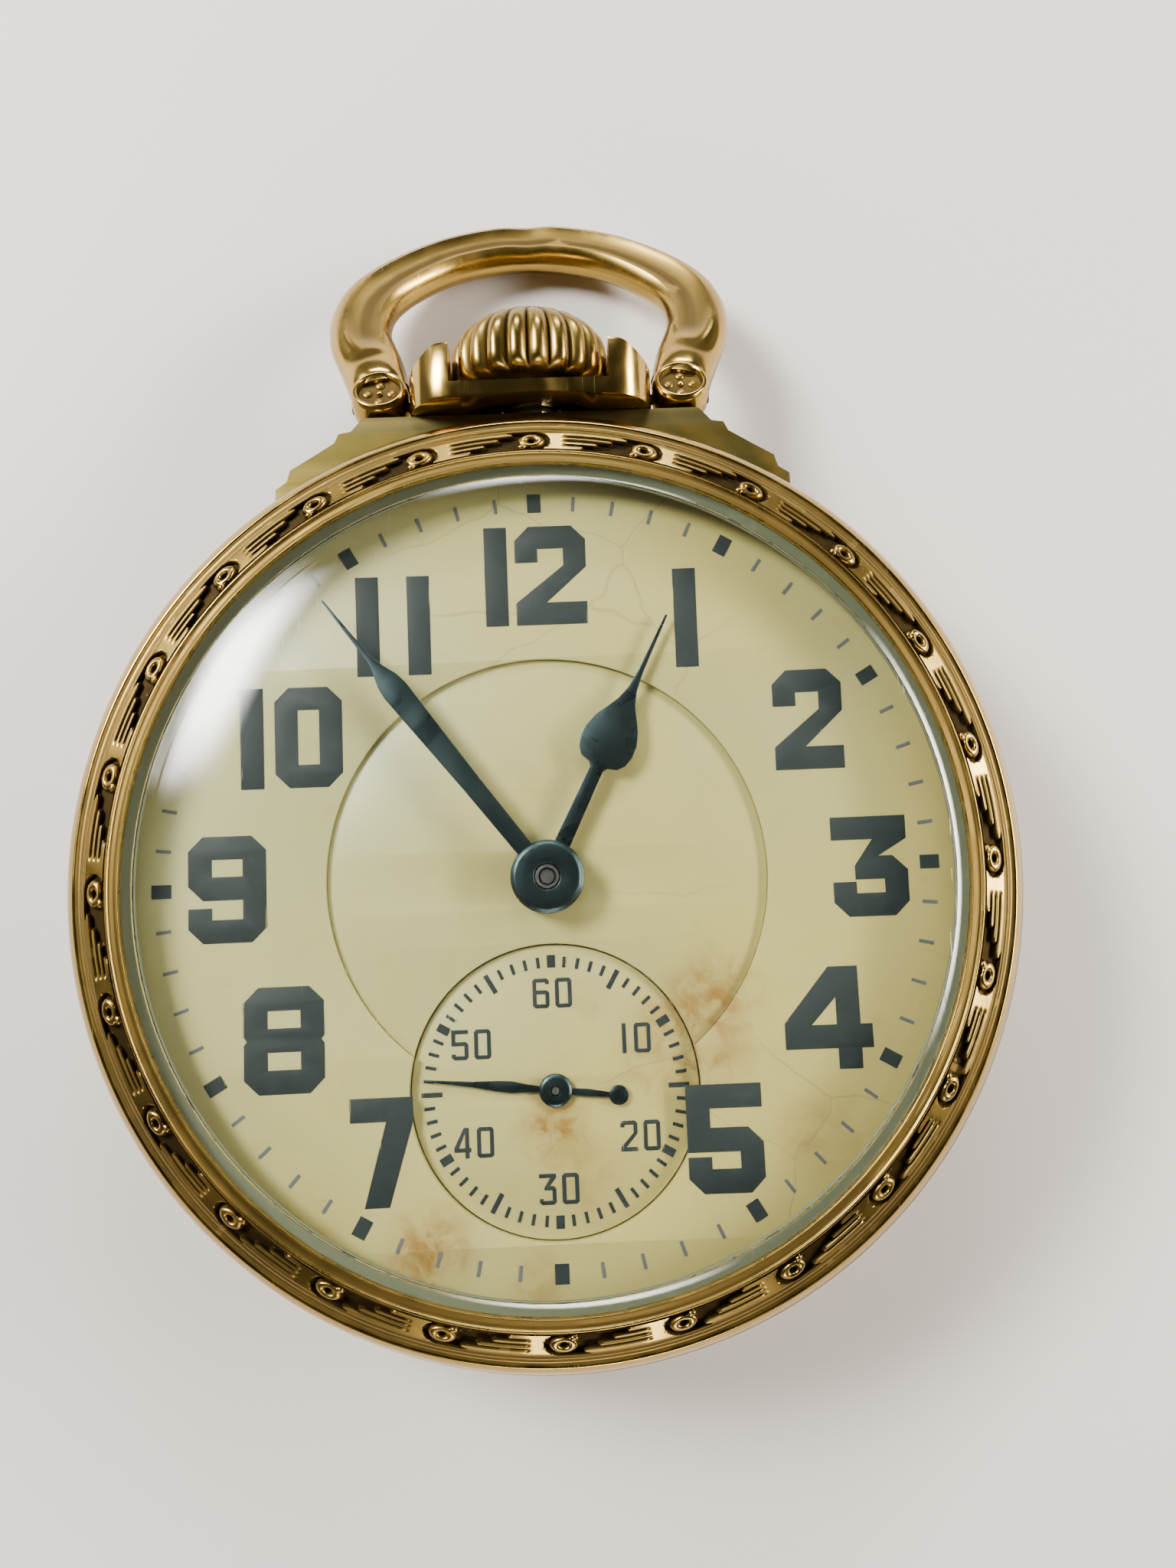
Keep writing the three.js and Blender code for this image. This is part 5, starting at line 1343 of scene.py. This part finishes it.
CARRIED = {
    "Polished steel": ("bow_screw_left", "bow_screw_right", "pendant_sleeve", "winding_stem",
                       "winding_pinion", "clutch", "setting_lever", "cannon_pinion", "ratchet_wheel",
                       "crown_wheel", "click", "barrel_arbor", "centre_pinion", "third_pinion",
                       "fourth_pinion", "escape_pinion", "escape_wheel", "pallet_fork", "balance_staff",
                       "regulator"),
    "Gilt brass": ("hour_wheel", "minute_wheel", "centre_wheel", "third_wheel", "fourth_wheel", "barrel",
                   "barrel_cover", "balance_wheel"),
    "Damaskeened nickel": ("pillar_plate", "barrel_bridge", "train_bridge", "balance_cock", "pallet_cock"),
    "Blued steel": ("balance_cock_screw", "barrel_bridge_screw_1", "barrel_bridge_screw_2",
                    "train_bridge_screw_1", "train_bridge_screw_2", "case_screw_1", "case_screw_2",
                    "hairspring", "mainspring"),
    "Ruby": ("centre_jewel", "third_jewel", "fourth_jewel", "escape_jewel", "balance_jewel"),
}


def finish_carried():
    """Gives the frame's own pieces their finishes."""
    for name, nodes in CARRIED.items():
        for node in nodes:
            piece = frame["nodes"][node]
            for slot in piece.material_slots:
                slot.material = mat(name)


def slotted_head(radius, height):
    """A screw head that faces the back, with its top at zero."""
    steel = mat("Blued steel")
    profile = [(0, -height), (radius - 0.05, -height), (radius, -height + 0.05), (radius, 0), (0, 0)]
    head = turned("screw_head", profile, steel, sides=40, soft=0.01)
    slot = cut_out("slot", [box_loop(-radius * 2, -radius * 0.14, radius * 2, radius * 0.14)],
                   -height - 0.1, -height * 0.5, steel, 0.001)
    return boolean(head, [slot])


def screws(name, places, radius, height, seed=3):
    """Slotted heads on points of (x, y, height of the face they stand on)."""
    head = slotted_head(radius, height)
    values = {"Screw": head, "Turn seed": seed}
    points = [(x * MM, y * MM, z * MM) for x, y, z in places]
    result = grown(name, bpy.data.node_groups["Screws on points"], values, mat("Blued steel"), points)
    bpy.data.objects.remove(head)
    return result


def make_movement(timing_screws):
    """What the frame leaves out: timing screws, the pallet cock's screw and the jewels' gold settings."""
    rim = corner("balance_wheel", 1)[0] - BALANCE[0] - 0.42
    low = corner("balance_wheel", 0)[2]
    timing = [(BALANCE[0] + x, BALANCE[1] + y, low) for x, y in circle(rim, sides=timing_screws)]
    placed(screws("timing_screws", timing, 0.3, 0.14), "balance", "blued_steel")
    under = corner("pallet_cock", 0)[2]
    placed(screws("pallet_screw", [(*PALLET_SCREW, under)], 0.5, 0.15), "case", "blued_steel")
    for node in ("centre_jewel", "third_jewel", "fourth_jewel", "escape_jewel"):
        low, high = corner(node, 0), corner(node, 1)
        middle = ((low[0] + high[0]) / 2, (low[1] + high[1]) / 2)
        radius = (high[0] - low[0]) / 2
        face = corner("train_bridge", 0)[2]
        section = ((0.03, 0), (0.42, 0), (0.42, 0.03), (0.34, 0.05), (0.12, 0.05), (0.03, 0.01))
        ring = [(radius + out, face - proud) for out, proud in section]
        setting = turned(node + "_setting", ring, mat("Polished gold"),
                         sides=48, at=middle, closed=True, soft=0)
        placed(setting, "case", "case_gold")


# ---------------------------------------------------------------- stage

VIEW_FROM = Vector((1.22, -1.25, DIAL_TOP + 60.9))  # place of the camera, in millimetres
VIEW_ALONG = Vector((0.0171, 0.0976, -0.9951))
VIEW_UP = Vector((0.0390, 0.9944, 0.0982))


def look_matrix(place, along, up):
    """Where a camera or a lamp stands and which way it looks."""
    back = -along.normalized()
    right = up.cross(back).normalized()
    true_up = back.cross(right)
    turn = Matrix((right, true_up, back)).transposed().to_4x4()
    return Matrix.Translation(place) @ turn


def add_light(name, place, aim, size, power, colour):
    """A soft box: an area light that fades towards its edges."""
    lamp = bpy.data.lights.new(name, "AREA")
    lamp.shape = "RECTANGLE"
    lamp.size, lamp.size_y = size
    lamp.energy = power
    lamp.color = colour
    lamp.use_nodes = True
    w = Wiring(lamp.node_tree)
    across = w.add("ShaderNodeSeparateXYZ")
    w.feed(across.inputs[0], w.add("ShaderNodeNewGeometry").outputs["Parametric"])
    fall = None
    for axis in (0, 1):
        edge = w.maths("SUBTRACT", 0.5, w.maths("ABSOLUTE", w.maths("SUBTRACT", across.outputs[axis], 0.5)))
        soft = w.between(edge, 0.0, 0.42)
        fall = soft if fall is None else w.maths("MULTIPLY", fall, soft)
    glow = next(n for n in lamp.node_tree.nodes if n.type == "EMISSION")
    w.feed(glow.inputs["Strength"], w.maths("MULTIPLY", fall, 3.0))
    holder = bpy.data.objects.new(name, lamp)
    place, aim = Vector(place), Vector(aim)
    holder.matrix_world = look_matrix(place, aim - place, Vector((0, 1, 0.01)))
    bpy.context.scene.collection.objects.link(holder)


def make_sky():
    """A room seen as a soft band of light round the horizon with a dark ceiling."""
    world = bpy.data.worlds.new("studio")
    world.use_nodes = True
    w = Wiring(world.node_tree)
    split = w.add("ShaderNodeSeparateXYZ")
    w.feed(split.inputs[0], w.add("ShaderNodeTexCoord").outputs["Generated"])
    ramp = w.add("ShaderNodeValToRGB")
    w.feed(ramp.inputs[0], w.maths("MULTIPLY_ADD", split.outputs[2], 0.5, 0.5))
    stops = ((0.0, 0.12), (0.5, 0.16), (0.6, 0.3), (0.72, 0.14), (0.86, 0.06), (0.97, 0.03))
    elements = ramp.color_ramp.elements
    for place, level in stops[2:]:
        elements.new(place)
    for element, (place, level) in zip(elements, stops):
        element.position = place
        element.color = (level, level * 0.96, level * 0.88, 1)
    sky = next(n for n in world.node_tree.nodes if n.type == "BACKGROUND")
    w.feed(sky.inputs["Color"], ramp.outputs[0])
    sky.inputs["Strength"].default_value = 0.8
    bpy.context.scene.world = world


def make_stage(sizes):
    """The floor just under the bow, the camera, the sky and four soft lamps."""
    half = 0.6
    low = -0.00016
    mesh = bpy.data.meshes.new("floor")
    corners = [(x, y, low) for x, y in box_loop(-half, -half, half, half)]
    mesh.from_pydata(corners, [], [(0, 1, 2, 3)])
    mesh.materials.append(floor_material("Pale floor", tuple(sizes.floor)))
    floor = bpy.data.objects.new("floor", mesh)
    bpy.context.scene.collection.objects.link(floor)
    camera = bpy.data.cameras.new("camera")
    camera.sensor_width = 36.0
    camera.lens = sizes.lens
    camera.clip_start = 0.002
    holder = bpy.data.objects.new("camera", camera)
    holder.matrix_world = look_matrix(VIEW_FROM * MM, VIEW_ALONG, VIEW_UP)
    bpy.context.scene.collection.objects.link(holder)
    bpy.context.scene.camera = holder
    make_sky()
    add_light("window", (-0.24, 0.17, 0.26), (0, 0, 0.01), (0.17, 0.22), 4.4, (1.0, 0.99, 0.95))
    add_light("side", (0.3, 0.03, 0.15), (0, 0, 0.01), (0.08, 0.4), 2.6, (1.0, 0.95, 0.86))
    add_light("front", (0.02, -0.36, 0.16), (0, 0, 0.01), (0.3, 0.07), 0.9, (1.0, 0.95, 0.86))
    add_light("rear", (0.02, 0.38, 0.2), (0, 0, 0.01), (0.3, 0.07), 1.5, (0.97, 0.98, 1.0))


# ---------------------------------------------------------------- add-on

class WatchSettings(bpy.types.PropertyGroup):
    """Colours and sizes that a user would change."""

    gold: bpy.props.FloatVectorProperty(
        name="Gold", description="Colour of the case",
        subtype="COLOR", size=3, default=(0.43, 0.285, 0.068))
    dial: bpy.props.FloatVectorProperty(
        name="Dial", description="Colour of the enamel",
        subtype="COLOR", size=3, default=(0.35, 0.325, 0.135))
    numerals: bpy.props.FloatVectorProperty(
        name="Numerals", description="Colour of the printing",
        subtype="COLOR", size=3, default=(0.004, 0.008, 0.008))
    blued_steel: bpy.props.FloatVectorProperty(
        name="Hands", description="Colour of the blued steel",
        subtype="COLOR", size=3, default=(0.036, 0.055, 0.06))
    floor: bpy.props.FloatVectorProperty(
        name="Floor", description="Colour of the floor",
        subtype="COLOR", size=3, default=(0.56, 0.52, 0.49))
    lens: bpy.props.FloatProperty(
        name="Lens", description="Focal length of the camera",
        unit="CAMERA", default=27.04, min=10.0, max=200.0)
    flutes: bpy.props.IntProperty(
        name="Flutes", description="Flutes round the crown", default=22, min=8, max=60)
    stroke: bpy.props.FloatProperty(
        name="Numeral stroke", description="Width of the strokes of the hour numerals", unit="LENGTH",
        default=0.00118, min=0.0004, max=0.0015, precision=5)
    timing_screws: bpy.props.IntProperty(
        name="Timing screws", description="Screws round the rim of the balance", default=14, min=2, max=24)


class WatchPiece:
    """What every operator of the watch has in common."""

    bl_options = {"REGISTER", "UNDO"}

    def execute(self, context):
        self.build(context.scene.pocket_watch)
        return {"FINISHED"}


class WATCH_OT_stage(WatchPiece, bpy.types.Operator):
    """Floor, lights and camera"""

    bl_idname = "watch.stage"
    bl_label = "Stage"

    def build(self, sizes):
        make_stage(sizes)


class WATCH_OT_materials(WatchPiece, bpy.types.Operator):
    """Metals, enamel, paint, glass and jewel, and the node trees for repeated pieces"""

    bl_idname = "watch.materials"
    bl_label = "Materials"

    def build(self, sizes):
        make_materials(sizes)
        ring_tree()
        screws_tree()


class WATCH_OT_case(WatchPiece, bpy.types.Operator):
    """Back, band and shoulder"""

    bl_idname = "watch.case"
    bl_label = "Case"

    def build(self, sizes):
        make_back()
        make_band()


class WATCH_OT_bezel(WatchPiece, bpy.types.Operator):
    """Bezel with its engraved border, and the crystal"""

    bl_idname = "watch.bezel"
    bl_label = "Bezel and crystal"

    def build(self, sizes):
        make_bezel()
        make_crystal()


class WATCH_OT_pendant(WatchPiece, bpy.types.Operator):
    """Neck, winding crown and bow"""

    bl_idname = "watch.pendant"
    bl_label = "Neck, crown and bow"

    def build(self, sizes):
        make_neck()
        make_crown(sizes.flutes)
        make_bow()


class WATCH_OT_dial(WatchPiece, bpy.types.Operator):
    """Enamel discs and their printing"""

    bl_idname = "watch.dial"
    bl_label = "Dial"

    def build(self, sizes):
        make_dial()
        make_print(sizes.stroke / MM)


class WATCH_OT_hands(WatchPiece, bpy.types.Operator):
    """Hour, minute and seconds hands"""

    bl_idname = "watch.hands"
    bl_label = "Hands"

    def build(self, sizes):
        make_hands()


class WATCH_OT_movement(WatchPiece, bpy.types.Operator):
    """Plates, wheels and screws of the movement"""

    bl_idname = "watch.movement"
    bl_label = "Movement"

    def build(self, sizes):
        finish_carried()
        make_movement(sizes.timing_screws)


OPERATORS = (
    WATCH_OT_materials, WATCH_OT_stage, WATCH_OT_case, WATCH_OT_bezel, WATCH_OT_pendant, WATCH_OT_dial,
    WATCH_OT_hands, WATCH_OT_movement,
)


class WATCH_PT_panel(bpy.types.Panel):
    """Lists the pieces of the watch and its settings"""

    bl_label = "Pocket watch"
    bl_idname = "WATCH_PT_panel"
    bl_space_type = "VIEW_3D"
    bl_region_type = "UI"
    bl_category = "Watch"

    def draw(self, context):
        for name in WatchSettings.__annotations__:
            self.layout.prop(context.scene.pocket_watch, name)
        for operator in OPERATORS:
            self.layout.operator(operator.bl_idname)


CLASSES = (WatchSettings, *OPERATORS, WATCH_PT_panel)


def register():
    for item in CLASSES:
        bpy.utils.register_class(item)
    bpy.types.Scene.pocket_watch = bpy.props.PointerProperty(type=WatchSettings)


def unregister():
    del bpy.types.Scene.pocket_watch
    for item in reversed(CLASSES):
        bpy.utils.unregister_class(item)


def main():
    register()
    bpy.ops.watch.materials()
    bpy.ops.watch.stage()
    bpy.ops.watch.case()
    bpy.ops.watch.bezel()
    bpy.ops.watch.pendant()
    bpy.ops.watch.dial()
    bpy.ops.watch.hands()
    bpy.ops.watch.movement()


if __name__ == "__main__":
    main()
